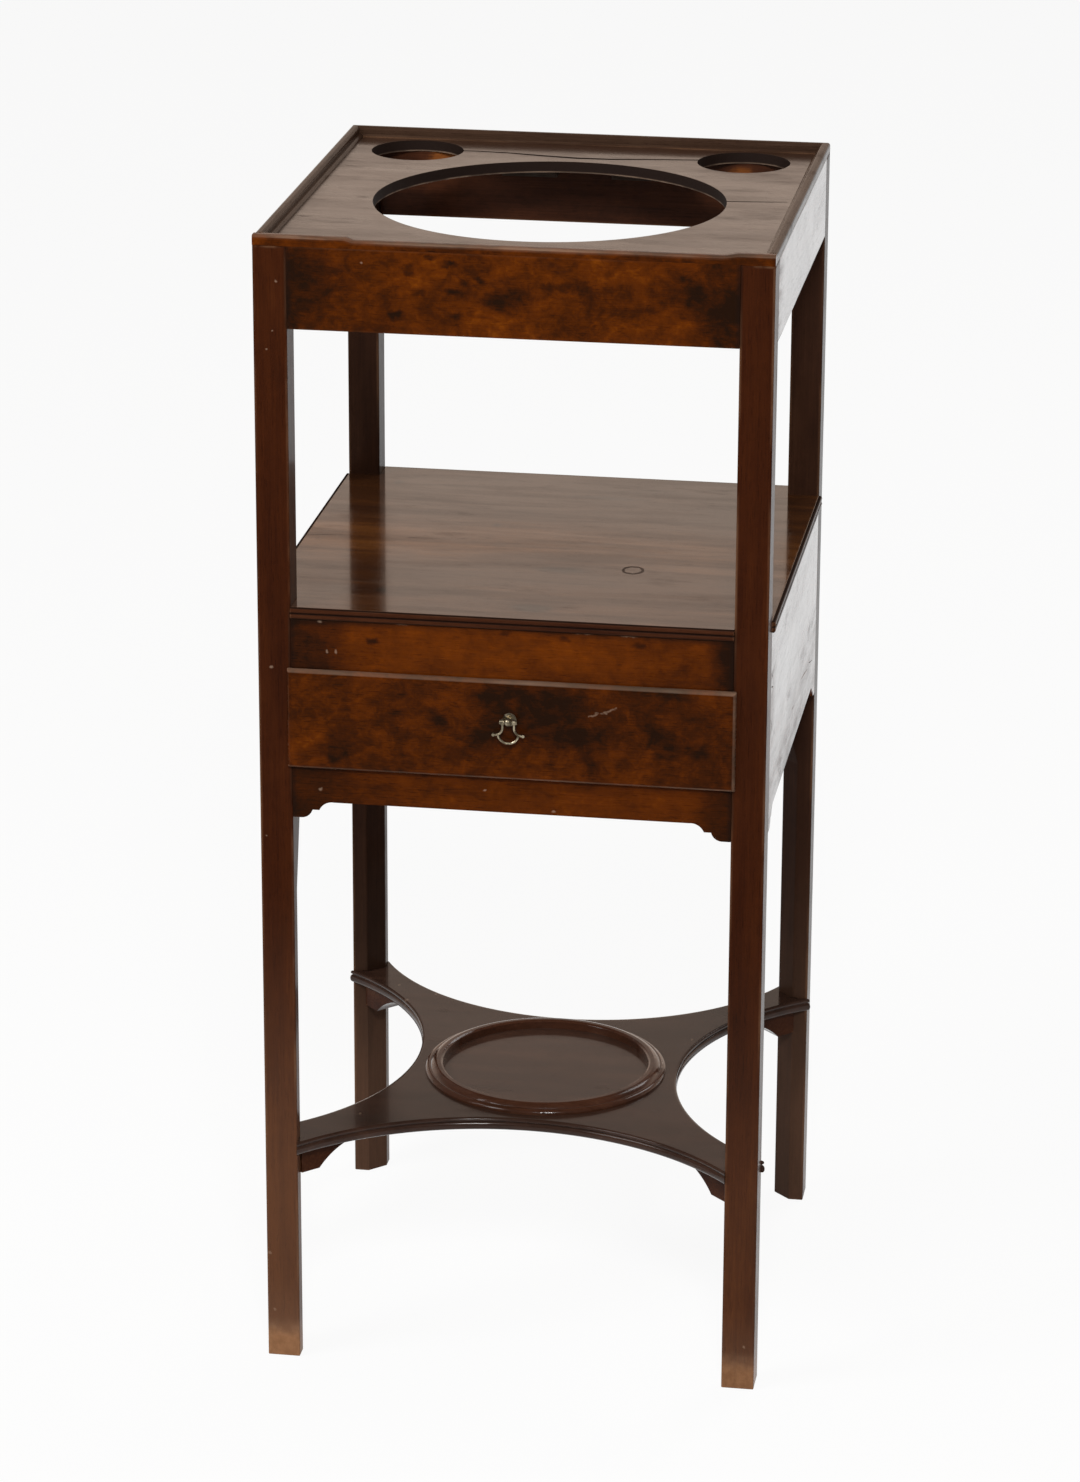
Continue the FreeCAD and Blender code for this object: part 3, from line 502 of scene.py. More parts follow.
stand_in(nosed_platform(), "undertier_board")
print("platform edge:", len(NOSE), "rows of", len(platform_plan(0)), "points")

# %% [markdown]
# Mahogany is a sum of layers at very different sizes: broad bands a finger wide, clouds of darker
# colour, fine fibres, and short dark pores. Each layer is a noise squeezed along the grain of
# its board, in millimetres, so that every board has its own pattern and none repeats.

# %% Wood grain
AXES = "xyz"
PATTERNS = 89
PATTERN_STEPS = (13.0, 7.0, 29.0)


class Board:
    """A wooden board's finish: where a point of it lies, and the layers of its grain."""

    def __init__(self, name, along):
        self.name = name
        self.finish = Finish(bpy.data.materials.new(name + "_finish"))
        self.along = along
        self.low, self.high = [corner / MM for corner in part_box(name)]
        self.seed = sum(ord(letter) for letter in name) % PATTERNS
        place = self.finish.node("TexCoord", None, None, give="Object")
        self.place = self.finish.vector("MULTIPLY", place, (1 / MM, 1 / MM, 1 / MM))
        self.axis = [self.finish.axis(self.place, i) for i in range(3)]
        self.fibres = self.finish.noise(self.grain(45), scale=0.8, detail=3, roughness=0.6) - 0.5
        pits = self.finish.noise(self.grain(14), scale=1.5, detail=1, roughness=0.5)
        self.pores = pits.between(0.6, 0.72)
        self.rims = {}

    def grain(self, stretch):
        """Points squeezed along the grain, and shifted so that boards differ."""
        squeeze = [1.0, 1.0, 1.0]
        squeeze[AXES.index(self.along)] = 1 / stretch
        shift = [step * self.seed for step in PATTERN_STEPS]
        return self.finish.vector("MULTIPLY_ADD", self.place, squeeze, shift)

    def bands(self):
        return self.finish.noise(self.grain(9), scale=0.05, detail=3, roughness=0.55, distortion=0.6) - 0.5

    def clouds(self, size_mm, stretch=1.3):
        layer = {"scale": 1 / size_mm, "detail": 4, "roughness": 0.6, "distortion": 0.9}
        return self.finish.noise(self.grain(stretch), **layer) - 0.5

    def tone(self, streaks, figure=0.0):
        """The grain as one number about 0.5: streaks run along the board, figure is cloudy."""
        tone = 0.5 + self.bands() * streaks + self.fibres * (0.5 * streaks) - self.pores * 0.14
        if figure:
            tone = tone + self.clouds(30) * figure + self.clouds(11) * (0.7 * figure)
            tone = tone + self.clouds(4) * (0.4 * figure)
        return tone

    def ragged(self, warp_mm):
        """Points pushed about by a noise, so that marks get uneven rims."""
        if warp_mm not in self.rims:
            values = {"Vector": self.place, "Scale": 0.5 / warp_mm, "Detail": 3}
            swirl = self.finish.node("TexNoise", None, values, give=1)
            push = self.finish.vector("SUBTRACT", swirl, (0.5, 0.5, 0.5))
            reach = (2 * warp_mm,) * 3
            self.rims[warp_mm] = self.finish.vector("MULTIPLY_ADD", push, reach, self.place)
        return self.rims[warp_mm]


print("grain layers: bands, fibres, clouds, pores")

# %% [markdown]
# Wear follows the corners. A board is close to a box, so the distance to its nearest edge is the
# second smallest of the three distances to its faces. That mask, broken up by a noise, shows
# where polish has rubbed off to paler wood. Cycles has a bevel node that can find edges
# too, but it is slow and grainy, and a board's own box is exact.
# Single marks are soft spots or strokes, placed where they are on the real boards.

# %% Wear and marks
def edge_distance(board):
    gaps = []
    for i in range(3):
        middle = (board.low[i] + board.high[i]) / 2
        half = (board.high[i] - board.low[i]) / 2
        gaps.append(half - abs(board.axis[i] - middle))
    first, second, third = gaps
    return first.least(second).most(first.most(second).least(third))


def patches(board):
    return board.finish.noise(board.grain(6), scale=0.07, detail=3, roughness=0.6).between(0.38, 0.66)


def spot(board, centre, radii, warp_mm):
    """A soft round mark: 1 in the middle, 0 outside its radii."""
    away = board.finish.vector("SUBTRACT", board.ragged(warp_mm), centre)
    return board.finish.length(board.finish.vector("DIVIDE", away, radii)).between(1, 0.25)


def stroke(board, start, end, width_mm, warp_mm):
    """A soft line between two points."""
    way = Vector(end) - Vector(start)
    along = board.finish.vector("SUBTRACT", board.ragged(warp_mm), start)
    values = {0: along, 1: way / way.length_squared}
    share = board.finish.node("VectorMath", {"operation": "DOT_PRODUCT"}, values, give=1)
    values = {0: way, "Scale": share.most(0).least(1)}
    nearest = board.finish.node("VectorMath", {"operation": "SCALE"}, values)
    off = board.finish.vector("SUBTRACT", along, nearest)
    return board.finish.length(off).between(width_mm, 0.3 * width_mm)


def widest(masks):
    """The largest of several masks at each point."""
    result = masks[0]
    for mask in masks[1:]:
        result = result.most(mask)
    return result


def darker(board, tone, marks, warp_mm):
    """The tone with dark marks (centre, radii, strength) taken off it."""
    for centre, radii, strength in marks:
        tone = tone - spot(board, centre, radii, warp_mm) * strength
    return tone


print("marks: edge_distance, patches, spot, stroke")

# %% [markdown]
# Old polish is a thin clear film over the wood. The Principled shader's own gloss, with a coat over
# it, behaves like that film: weak seen straight on, strong at a low angle, so the flat boards turn
# grey and the right side, seen almost edge on, turns nearly white.
# Where old wax and dirt lie thick, and where shade is painted in, the film is gone and the wood is dull and
# black.

# %% Polish
TONE_STOPS = (0.12, 0.36, 0.6, 0.88)
# Dark old wax, also the colour of painted shade in hollows and on faces that don't face up.
WAX_AND_SHADE = (0.01, 0.005, 0.0035)
RUBBED = (0.17, 0.085, 0.045)
# Pale bare wood, also the colour of painted highlights and of the painted reflection of the floor.
PALE_WOOD_AND_LIGHT = (0.44, 0.3, 0.21)
SCRUBBED_TOE = (0.5, 0.265, 0.135)


def polish(board, colour, roughness, film, relief, gloss=1.08, film_rough=0.12, depth_mm=0.05):
    bump = board.finish.node("Bump", None, {"Strength": 0.6, "Distance": depth_mm * MM, "Height": relief})
    values = {"Base Color": colour, "Roughness": roughness, "Coat Weight": film, "Normal": bump}
    values.update({"IOR": gloss, "Coat IOR": gloss, "Coat Roughness": film_rough})
    return board.finish.surface(board.finish.node("BsdfPrincipled", None, values))


def dress(board, material):
    mesh = boards[board.name].data
    mesh.materials.clear()
    mesh.materials.append(material)


def mahogany(board, tone, tones, dirt_and_shade=None, pale=None, film=0.95, rough=0.26, wear_mm=1.6, wear=0.5,
             pale_colour=PALE_WOOD_AND_LIGHT, **layer):
    """Polished mahogany: tones run from deep to light, dirt_and_shade (grime, old wax and painted shade) and
    pale (wear, chips and painted light) are masks, wear is for the edges.
    """
    colour = board.finish.node("ValToRGB", {"stops": list(zip(TONE_STOPS, tones))}, {0: tone})
    grime_and_shade = board.finish.noise(board.grain(3), scale=0.05, detail=4, roughness=0.65).between(0.55, 0.8) * 0.3
    # This mask holds real grime and, on some boards, painted shade.
    if dirt_and_shade is not None:
        grime_and_shade = grime_and_shade.most(dirt_and_shade)
    colour = board.finish.colour(grime_and_shade, colour, WAX_AND_SHADE)
    worn = edge_distance(board).between(wear_mm, 0.2 * wear_mm) * patches(board) * (1 - grime_and_shade)
    colour = board.finish.colour(worn * wear, colour, RUBBED)
    if pale is not None:
        colour = board.finish.colour(pale, colour, pale_colour)
    uneven = board.clouds(40)
    roughness = rough + worn * 0.2 + grime_and_shade * 0.5 + board.fibres * 0.2 + uneven * 0.2
    weight = (film - worn * 0.4 - board.pores * 0.3 - grime_and_shade * 1.1).most(0)
    relief = board.fibres * 0.5 - board.pores * 0.8 + board.clouds(25) * 1.4
    dress(board, polish(board, colour, roughness, weight, relief, **layer))


print("polish: tones at", TONE_STOPS)

# %% [markdown]
# The four legs are plain straight-grained mahogany, very dark red. The front ones are lighter and paler
# towards the floor, which is painted light, and their toes are worn to tan wood. The back ones are darkest,
# and low down they carry a pale painted reflection of the floor. Each leg is darker in a thin line beside
# each joint with a board and just under the lip. A painted picture could hold all this, but masks by height
# are easy to adjust.

# %% Legs
LEG_TONES = ((0.014, 0.0037, 0.0018), (0.031, 0.0074, 0.0024), (0.045, 0.011, 0.003), (0.078, 0.022, 0.0055))
REAR_TONES = ((0.014, 0.006, 0.004), (0.025, 0.0105, 0.0062), (0.035, 0.0145, 0.008), (0.058, 0.025, 0.014))
JOINT_X = 152.0
FRONT_Y = -175.0
JOINT_DARK_REACH = 2.6
JOINT_DARK_FADE = 2.2
# Pairs of heights: where a mask starts, and where it is full.
CASE_FOOT = (415, 425)
CASE_HEAD = (566, 556)
FRIEZE_FOOT = (756, 762)
UNDER_LIP = (812.5, 814.5)
LOW_PAINTED_LIGHT = (380, 120)
FLOOR_PAINTED_LIGHT = (70, 10)
TOE = (31, 13)
REAR_PAINTED_REFLECTION = (320, 60)
PALEST_Z = 20
# Each front leg: the height where its painted light starts, how much lighter, how strong its pale painted
# light low down is, how bare its toe is.
FRONT_LEG_LIGHT_AND_WEAR = {"left": (420, 0.35, 0.08, 0.3), "right": (240, 0.22, 0.035, 0.26)}
# Small pale chips: x, z and size.
LEG_DOTS = {"left": [(-159, 791, 1.0), (-162, 757, 0.8), (-166, 744, 0.9), (-165.6, 520, 1.6),
                     (-171, 397, 1.0), (-172.8, 80, 2.0), (-169.9, 36, 1.9), (-165.4, 22, 2.2)],
            "right": [(167.7, 33, 1.8)]}


# Darker in a thin line beside each joint with a board and just under the lip.
def leg_joint_darkening(board):
    height = board.axis[2]
    beside_joint = (JOINT_X + JOINT_DARK_REACH - abs(board.axis[0])).between(0, JOINT_DARK_FADE)
    case = height.between(*CASE_FOOT) * height.between(*CASE_HEAD)
    below_lip = height.between(*UNDER_LIP)
    return (beside_joint * (case + height.between(*FRIEZE_FOOT)) * 0.6).most(below_lip * 0.2)


def front_leg_light_and_wear(board, side, tone):
    """The tone of a front leg with painted light towards the floor, the mask of its pale wood and painted
    light, and the colour of that wood.
    """
    height = board.axis[2]
    start, lighter, painted_light_share, bare_toe = FRONT_LEG_LIGHT_AND_WEAR[side]
    # Painted light: the leg is lighter towards the floor and paler low down; only the toe is really worn.
    tone = tone + height.between(start, PALEST_Z) * lighter
    pale = height.between(*LOW_PAINTED_LIGHT) * painted_light_share + height.between(*FLOOR_PAINTED_LIGHT) * 0.06
    mottled = board.finish.noise(board.place, scale=0.16, detail=3, roughness=0.6).between(0.3, 0.7)
    at_toe = board.finish.axis(board.ragged(6), 2).between(*TOE)
    pale = pale + at_toe * (0.7 + mottled * 0.5) * bare_toe
    pale_colour = board.finish.colour(at_toe, PALE_WOOD_AND_LIGHT, SCRUBBED_TOE)
    dots = [spot(board, (x, FRONT_Y, z), (size, 4, size), 1.2) * 0.3 for x, z, size in LEG_DOTS[side]]
    return tone, widest([pale] + dots), pale_colour


def leg(end, side):
    board = Board(f"{end}_{side}_leg", "z")
    tone = board.tone(0.8, 0.2)
    if end == "front":
        tones = LEG_TONES
        tone, pale, pale_colour = front_leg_light_and_wear(board, side, tone)
    else:
        tones = REAR_TONES
        # Painted reflection: a back leg is lighter and greyer low down, as if mirroring the pale floor.
        painted_reflection = board.axis[2].between(*REAR_PAINTED_REFLECTION)
        tone = tone + painted_reflection * 0.25
        pale = painted_reflection * 0.06
        pale_colour = PALE_WOOD_AND_LIGHT
    mahogany(board, tone, tones, leg_joint_darkening(board), pale, film=0.5, rough=0.34, wear_mm=2.2, pale_colour=pale_colour,
             gloss=1.072)


for end in ("front", "rear"):
    for side in ("left", "right"):
        leg(end, side)
print("legs dressed, with", sum(len(dots) for dots in LEG_DOTS.values()), "small chips")

# %% [markdown]
# The front boards are faced with figured wood: orange and brown clouds, small dark knots like
# pinpricks and a few large stains. The clouds come from warped noise. Knots, stains and chips could
# be scattered too, but they sit where they are on the real boards, so each one is listed.

# %% Marks on the front boards
FRONT_TONES = ((0.013, 0.0044, 0.0014), (0.04, 0.0086, 0.0008), (0.085, 0.0175, 0.0008),
               (0.17, 0.041, 0.0015))
MARK_DEPTH = 60
CHIP_DEPTH = 9
CHIP_STRENGTH = 0.3
JOINT_GAP = 0.8
END_DARK_REACH = 3.2


def on_front(marks, y=FRONT_Y):
    """Marks (x, z, wide, high, strength) as centres and radii on a front board."""
    return [((x, y, z), (wide, MARK_DEPTH, high), strength) for x, z, wide, high, strength in marks]


def chips(board, marks, warp_mm=1.6):
    """Pale chips (x, z, wide, high) in a front board, as one mask."""
    spots = []
    for x, z, wide, high in marks:
        spots.append(spot(board, (x, FRONT_Y, z), (wide, CHIP_DEPTH, high), warp_mm) * CHIP_STRENGTH)
    return widest(spots)


def dark_ends(board, left_mm, right_mm):
    """1 at a board's ends, where the wood is darker, with uneven inner limits."""
    across = board.finish.axis(board.ragged(14), 0)
    left = across.between(board.low[0] + 2.0 * left_mm, board.low[0] + 0.4 * left_mm)
    right = across.between(board.high[0] - 2.0 * right_mm, board.high[0] - 0.4 * right_mm)
    return left.most(right)


def board_end_darkening(board):
    """Darker where a front board meets the legs."""
    middle = (board.low[0] + board.high[0]) / 2
    reach = JOINT_X - JOINT_GAP
    return abs(board.axis[0] - middle).between(reach - END_DARK_REACH, reach) * 0.55


print("front marks: on_front, chips, dark_ends, board_end_darkening")

# %% [markdown]
# The front frieze has the liveliest wood, with a cluster of knots left of the middle and broad
# stains to the right. Small marks get finely uneven rims and large ones coarse rims, because
# one rim for both would look stamped.

# %% Front frieze
FRIEZE_KNOTS = [(-69, 802, 7, 6, 0.3), (-43, 806.5, 10, 3.4, 0.3), (-55, 811.5, 7, 3, 0.24),
                (-32, 795, 5, 3, 0.2), (-22, 797.5, 5, 3.4, 0.32), (-39, 789, 8, 3, 0.26),
                (-78, 771, 7, 5, 0.32), (-37, 772, 6, 4, 0.2), (-61, 787, 5, 3, 0.18),
                (32, 795, 26, 5, 0.2), (116, 803, 7, 4, 0.2)]
FRIEZE_STAINS = [(-6, 786, 24, 15, 0.28), (64, 788, 26, 14, 0.14), (112, 797, 24, 16, 0.2),
                 (132, 790, 26, 26, 0.16)]
FRIEZE_CHIPS = [(-101, 806, 1.2, 1.2)]
frieze = Board("front_frieze", "x")
tone = darker(frieze, frieze.tone(0.1, 0.9), on_front(FRIEZE_KNOTS), 4)
tone = darker(frieze, tone, on_front(FRIEZE_STAINS), 9) - dark_ends(frieze, 34, 26) * 0.27
mahogany(frieze, tone, FRONT_TONES, board_end_darkening(frieze), chips(frieze, FRIEZE_CHIPS, 0.8), wear=0.1)
print("frieze:", len(FRIEZE_KNOTS), "knots and", len(FRIEZE_STAINS), "stains")

# %% [markdown]
# The rail over the drawer is the most orange board, and the apron under the drawer is a plainer one.
# Both have gone dark beside the legs, and the rail's two long edges, under the shelf and over the drawer, are
# painted dark as shade.
# The edges are found by height, which is simpler here than finding corners.

# %% Drawer rail and apron
RAIL_TONES = ((0.013, 0.0044, 0.0016), (0.05, 0.0105, 0.001), (0.112, 0.0235, 0.0008),
              (0.19, 0.048, 0.0012))
RAIL_MARKS = [(-96, 542.5, 6, 4, 0.34), (37, 551, 5, 3, 0.24), (88, 549, 6, 4, 0.2), (-4, 553, 5, 3, 0.2)]
RAIL_CHIPS = [(-132, 555, 2.2, 1.6), (-126.6, 533.7, 1.1, 2), (-121, 533.7, 1.1, 2), (-75, 555.5, 5, 0.8),
              (50, 555.5, 7, 0.8), (80, 555.5, 9, 0.8)]
RAIL_HEAD = (550.5, 555.5)
RAIL_FOOT = (522, 518.5)
RAIL_DARK_END = (20, 120)
APRON_CHIPS = [(-132.5, 433.5, 1.8, 1.6), (-18, 439.5, 1.8, 1.2), (30, 427, 2, 1.4)]
rail = Board("upper_drawer_rail", "x")
tone = darker(rail, rail.tone(0.3, 0.45), on_front(RAIL_MARKS), 3) - dark_ends(rail, 36, 14) * 0.36
tone = tone - rail.axis[0].between(*RAIL_DARK_END) * 0.1
# Painted shade along the rail's top edge under the shelf and its bottom edge over the drawer.
painted_edge_shade = rail.axis[2].between(*RAIL_HEAD).most(rail.axis[2].between(*RAIL_FOOT))
joint_darkening_and_shade = board_end_darkening(rail).most(painted_edge_shade * (0.25 + patches(rail) * 0.4))
mahogany(rail, tone, RAIL_TONES, joint_darkening_and_shade, chips(rail, RAIL_CHIPS), wear=0.25)

apron = Board("lower_apron_rail", "x")
tone = apron.tone(0.3, 0.5) - dark_ends(apron, 42, 24) * 0.3
mahogany(apron, tone, FRONT_TONES, board_end_darkening(apron), chips(apron, APRON_CHIPS), wear=0.25)
print("rail and apron:", len(RAIL_CHIPS + APRON_CHIPS), "chips")

# %% [markdown]
# The drawer front stands proud of the rails. Thin pale lines along its lipped edges are painted highlights
# where the rounded lip catches the light, and two short scuffs lie to the right of the handle. The scuffs are
# strokes between two points with wavering rims, which look more like scraped polish than cut grooves would.

# %% Drawer front
DRAWER_Y = -180.2
DRAWER_STAINS = [(-120, 464, 13, 8, 0.24), (-49.5, 490, 8, 6, 0.2), (-77, 480, 10, 9, 0.2),
                 (-15, 508, 14, 9, 0.18), (1.5, 514, 9, 6, 0.16), (30, 508, 12, 5, 0.16),
                 (49, 482, 18, 9, 0.12), (105.5, 484, 15, 9, 0.22), (129, 476, 12, 10, 0.2),
                 (-36, 467, 14, 9, 0.16), (16, 492, 74, 40, 0.22)]
SCUFFS = [((54.7, 499.4), (65.3, 501.8)), ((59.4, 501.2), (72.8, 505.4))]
LINE_START = 2.4
LINE_FULL = 1.4
DRAWER_DARK_END = (0, 80)
drawer = Board("drawer_front", "x")
tone = darker(drawer, drawer.tone(0.1, 0.85), on_front(DRAWER_STAINS, DRAWER_Y), 9)
tone = tone - 0.07 - drawer.axis[0].between(*DRAWER_DARK_END) * 0.07
scuffs = [stroke(drawer, (a[0], DRAWER_Y, a[1]), (b[0], DRAWER_Y, b[1]), 1.0, 2.6) * 0.22 for a, b in SCUFFS]
# Painted highlights: pale lines where the rounded lip of the drawer catches the light.
top_line = drawer.axis[2].between(drawer.high[2] - LINE_START, drawer.high[2] - LINE_FULL) * 0.3
foot_line = drawer.axis[2].between(drawer.low[2] + LINE_START, drawer.low[2] + LINE_FULL) * 0.2
right_line = drawer.axis[0].between(drawer.high[0] - LINE_START, drawer.high[0] - LINE_FULL) * 0.2
painted_edge_highlights = widest([top_line, foot_line, right_line]) * (0.5 + patches(drawer) * 0.5)
mahogany(drawer, tone, FRONT_TONES, None, widest(scuffs + [painted_edge_highlights]), wear=0.3)
print("drawer front:", len(DRAWER_STAINS), "stains and", len(SCUFFS), "scuffs")

# %% [markdown]
# The side boards and the back frieze are plainer. Seen from the front the right side mostly mirrors
# the white paper, so what shows is its polish, and that is thinner low down and near the front.
# The inside of the back frieze is nearly black, but for two patches of painted light, where light through the
# cup holes falls on it. Those are dark marks with their sign turned round.

# %% Sides
SIDE_TONES = ((0.024, 0.006, 0.002), (0.052, 0.012, 0.003), (0.08, 0.019, 0.004), (0.13, 0.036, 0.006))
INSIDE_TONES = ((0.016, 0.0065, 0.0036), (0.029, 0.0105, 0.0055), (0.052, 0.017, 0.0075), (0.16, 0.05, 0.012))
SIDE_BOARDS = ("left_case_side", "right_case_side", "left_frieze", "right_frieze")
THIN_LOW = (500, 430)
THIN_FRONT = (-115, -150)
# Painted light: two lighter patches where light through the cup holes falls.
PAINTED_LIGHT_PATCHES = [((-104, 163, 799), (17, 8, 14), -0.5), ((112, 163, 797), (16, 8, 13), -0.45)]
for name in SIDE_BOARDS:
    board = Board(name, "y")
    smears = board.finish.noise(board.grain(7), scale=0.04, detail=3, roughness=0.5).between(0.5, 0.8) * 0.12
    thin = board.axis[2].between(*THIN_LOW) * (0.3 + patches(board) * 0.4)
    thin = thin.most(board.axis[1].between(*THIN_FRONT) * patches(board) * 0.8)
    film = 0.93 - thin + board.clouds(35, 3) * 0.3
    mahogany(board, board.tone(0.8, 0.3), SIDE_TONES, smears, film=film, rough=0.22, gloss=1.25)

back = Board("rear_frieze", "x")
mahogany(back, darker(back, back.tone(0.6, 0.3), PAINTED_LIGHT_PATCHES, 4), INSIDE_TONES)
print("sides dressed:", len(SIDE_BOARDS), "and the back frieze")

# %% [markdown]
# The top is a broad glossy board with the grain from side to side. Upright surfaces, such as the walls of the
# holes and the cracks, are found by their direction: they don't face up, and they are painted black as shade.
# Only the lowest edge of the hole's wall has a pale painted highlight.

# %% Top board
TOP_TONES = ((0.022, 0.009, 0.005), (0.036, 0.016, 0.009), (0.05, 0.023, 0.013), (0.08, 0.038, 0.021))
LOWEST_EDGE = (808.4, 807.4)


def upright_mask(board):
    """1 on upright surfaces of a flat board, 0 on its faces."""
    facing = board.finish.node("NewGeometry", None, None, give="Normal")
    return abs(board.finish.axis(facing, 2)).between(0.75, 0.45)


top = Board("top_board", "x")
# Painted highlight on the lowest edge of the hole's wall; painted shade on all upright surfaces.
painted_hole_highlight = upright_mask(top) * top.axis[2].between(*LOWEST_EDGE) * (0.3 + patches(top) * 0.7) * 0.35
top_film = (0.9 + top.bands() * 1.1 + top.clouds(45, 4) * 1.1).least(1)
mahogany(top, top.tone(0.7, 0.3), TOP_TONES, upright_mask(top) * 0.93, painted_hole_highlight, top_film, rough=0.3, gloss=1.21)
print("top dressed")

# %% [markdown]
# The shelf is the glossiest board. It shows the reflection of a leg, keeps one warm orange band, and
# has an oval knot that has shrunk in its hole. The reflection needs no work, as a smooth film over
# the wood gives it. The knot's rim is the line where the distance from its middle is nearly one.

# %% Shelf
SHELF_TONES = ((0.016, 0.007, 0.004), (0.034, 0.013, 0.006), (0.056, 0.02, 0.007), (0.12, 0.042, 0.01))
# Dark spots: x, y, half width, half depth and strength.
SHELF_SPOTS = [(-134, 135, 5, 6, 0.5), (-45, 39, 5, 6, 0.5), (17, -61, 26, 10, 0.4), (26, 120, 44, 7, 0.4),
               (10, -150, 20, 12, 0.5), (-98, -126, 5, 7, 0.5)]
SPOT_HEIGHT = 40
WARM_FROM = (-80, -10)
WARM_TO = (70, 0)
DULL_END = (-100, -150)
KNOT_PLACE = (66.2, -52.7, SHELF_Z)
KNOT_RADII = (7.6, 9, SPOT_HEIGHT)
shelf = Board("shelf_board", "x")
warm_band = shelf.axis[1].between(*WARM_FROM) * shelf.axis[1].between(*WARM_TO)
dull_left = shelf.axis[0].between(*DULL_END) * 0.16
shelf_film = 0.9 + shelf.bands() * 1.2 + shelf.clouds(50, 5) * 1.1 - warm_band * 0.2 - dull_left
spots = [((x, y, SHELF_Z), (wide, deep, SPOT_HEIGHT), strength) for x, y, wide, deep, strength in SHELF_SPOTS]
tone = darker(shelf, shelf.tone(0.85, 0.25) + warm_band * 0.25, spots, 3)
from_knot = shelf.finish.vector("SUBTRACT", shelf.ragged(1.5), KNOT_PLACE)
knot = shelf.finish.length(shelf.finish.vector("DIVIDE", from_knot, KNOT_RADII))
knot_rim = abs(knot - 0.9).between(0.22, 0.08)
# The shelf's upright edges and its joint are painted dark as shade, and the knot's rim is dark.
mahogany(shelf, tone, SHELF_TONES, upright_mask(shelf).most(knot_rim * 0.7), None, shelf_film.least(1), rough=0.12,
         gloss=1.205, film_rough=0.07, depth_mm=0.035)
print("shelf dressed, with", len(SHELF_SPOTS), "spots")

# %% [markdown]
# The platform is dark and a little dull, with some pale specks. Inside the ring, where the jug has
# kept the dust off, it is lighter and glossier. A disc of its own would show a seam there, so a mask
# by the distance from the ring's middle does it.

# %% Platform
PLATFORM_TONES = ((0.018, 0.009, 0.006), (0.03, 0.015, 0.01), (0.043, 0.021, 0.014), (0.07, 0.034, 0.022))
PLATFORM_TOP = 167
PLATFORM_SPECKS = [(-135, 129, 1.7), (-124, 100, 2.2), (-104, 115, 1.5), (99, 58, 1.6), (-118, -117, 1.6)]
RING_FORWARD = 12.0
RING_RIM = (78, 72)
platform = Board("undertier_board", "x")
from_ring = platform.finish.vector("MULTIPLY_ADD", platform.place, (1, 1, 0), (0, RING_FORWARD, 0))
in_ring = platform.finish.length(from_ring).between(*RING_RIM)
platform_film = 0.74 + in_ring * 0.22 + platform.clouds(50, 3) * 0.5
specks = []
for x, y, size in PLATFORM_SPECKS:
    specks.append(spot(platform, (x, y, PLATFORM_TOP), (size, 1.6 * size, 9), 1.0) * 0.2)
mahogany(platform, platform.tone(0.7, 0.3) + in_ring * 0.15, PLATFORM_TONES, None, widest(specks),
         platform_film, rough=0.2, wear_mm=1.0, gloss=1.2, film_rough=0.07, depth_mm=0.025)
print("platform dressed, with", len(PLATFORM_SPECKS), "specks")

# %% [markdown]
# The mouldings are thin strips of the same wood. Their raised edges are rubbed pale, and the quirks between
# and under the reeds are painted dark, as old wax and as the shade under the moulding. The quirks run level,
# so their heights are enough to find them.

# %% Mouldings
BEAD_TONES = ((0.017, 0.008, 0.005), (0.036, 0.018, 0.011), (0.058, 0.031, 0.019), (0.105, 0.06, 0.038))
MOULDING_TONES = ((0.014, 0.004, 0.002), (0.03, 0.009, 0.004), (0.048, 0.015, 0.006), (0.09, 0.035, 0.016))
STRIPS = {"rear_top_bead": "x", "left_top_bead": "y", "right_top_bead": "y",
          "shelf_front_moulding": "x", "shelf_left_moulding": "y", "shelf_right_moulding": "y"}
# The height and the reach of each quirk.
REED_QUIRKS = ((556, 1.2), (560, 1.0), (564, 0.9))


# Painted dark in the quirks: old wax together with the shade under the moulding.
def quirk_wax_and_shade(board):
    return widest([abs(board.axis[2] - z).between(reach, 0.3 * reach) for z, reach in REED_QUIRKS]) * 0.9


for name, along in STRIPS.items():
    board = Board(name, along)
    reeded = name.startswith("shelf")
    tones = MOULDING_TONES if reeded else BEAD_TONES
    dirt_and_shade = quirk_wax_and_shade(board) if reeded else None
    mahogany(board, board.tone(0.8, 0.2), tones, dirt_and_shade, film=0.55, wear_mm=1.2, wear=0.55)
for name in [n for n in boards if n.endswith("_bracket")]:
    board = Board(name, "x")
    mahogany(board, board.tone(0.8, 0.2), MOULDING_TONES)
print("mouldings dressed:", len(STRIPS), "strips and the brackets")

# %% [markdown]
# The front lip is figured like the frieze, and its rounded nose carries a pale painted highlight. A nose
# faces up and forward at once, so the direction of the surface finds it, however far it has been knocked
# down.
# The ring for the jug is a plain turned hoop, glued up with two joints that show as dark lines.

# %% Front lip and jug ring
RING_TONES = ((0.017, 0.0065, 0.004), (0.04, 0.015, 0.008), (0.06, 0.0225, 0.012), (0.1, 0.043, 0.023))
# Each joint runs from the inner rim of the hoop to its outer rim.
RING_JOINTS = [((-44, 40), (-54, 55)), ((9, -85), (13, -102))]
INNER_RIM_Z = 172
OUTER_RIM_Z = 168
lip = Board("front_top_lip", "x")
facing = lip.finish.node("NewGeometry", None, None, give="Normal")
rounded = lip.finish.axis(facing, 2).between(0.1, 0.35) * lip.finish.axis(facing, 1).between(0.1, -0.25)
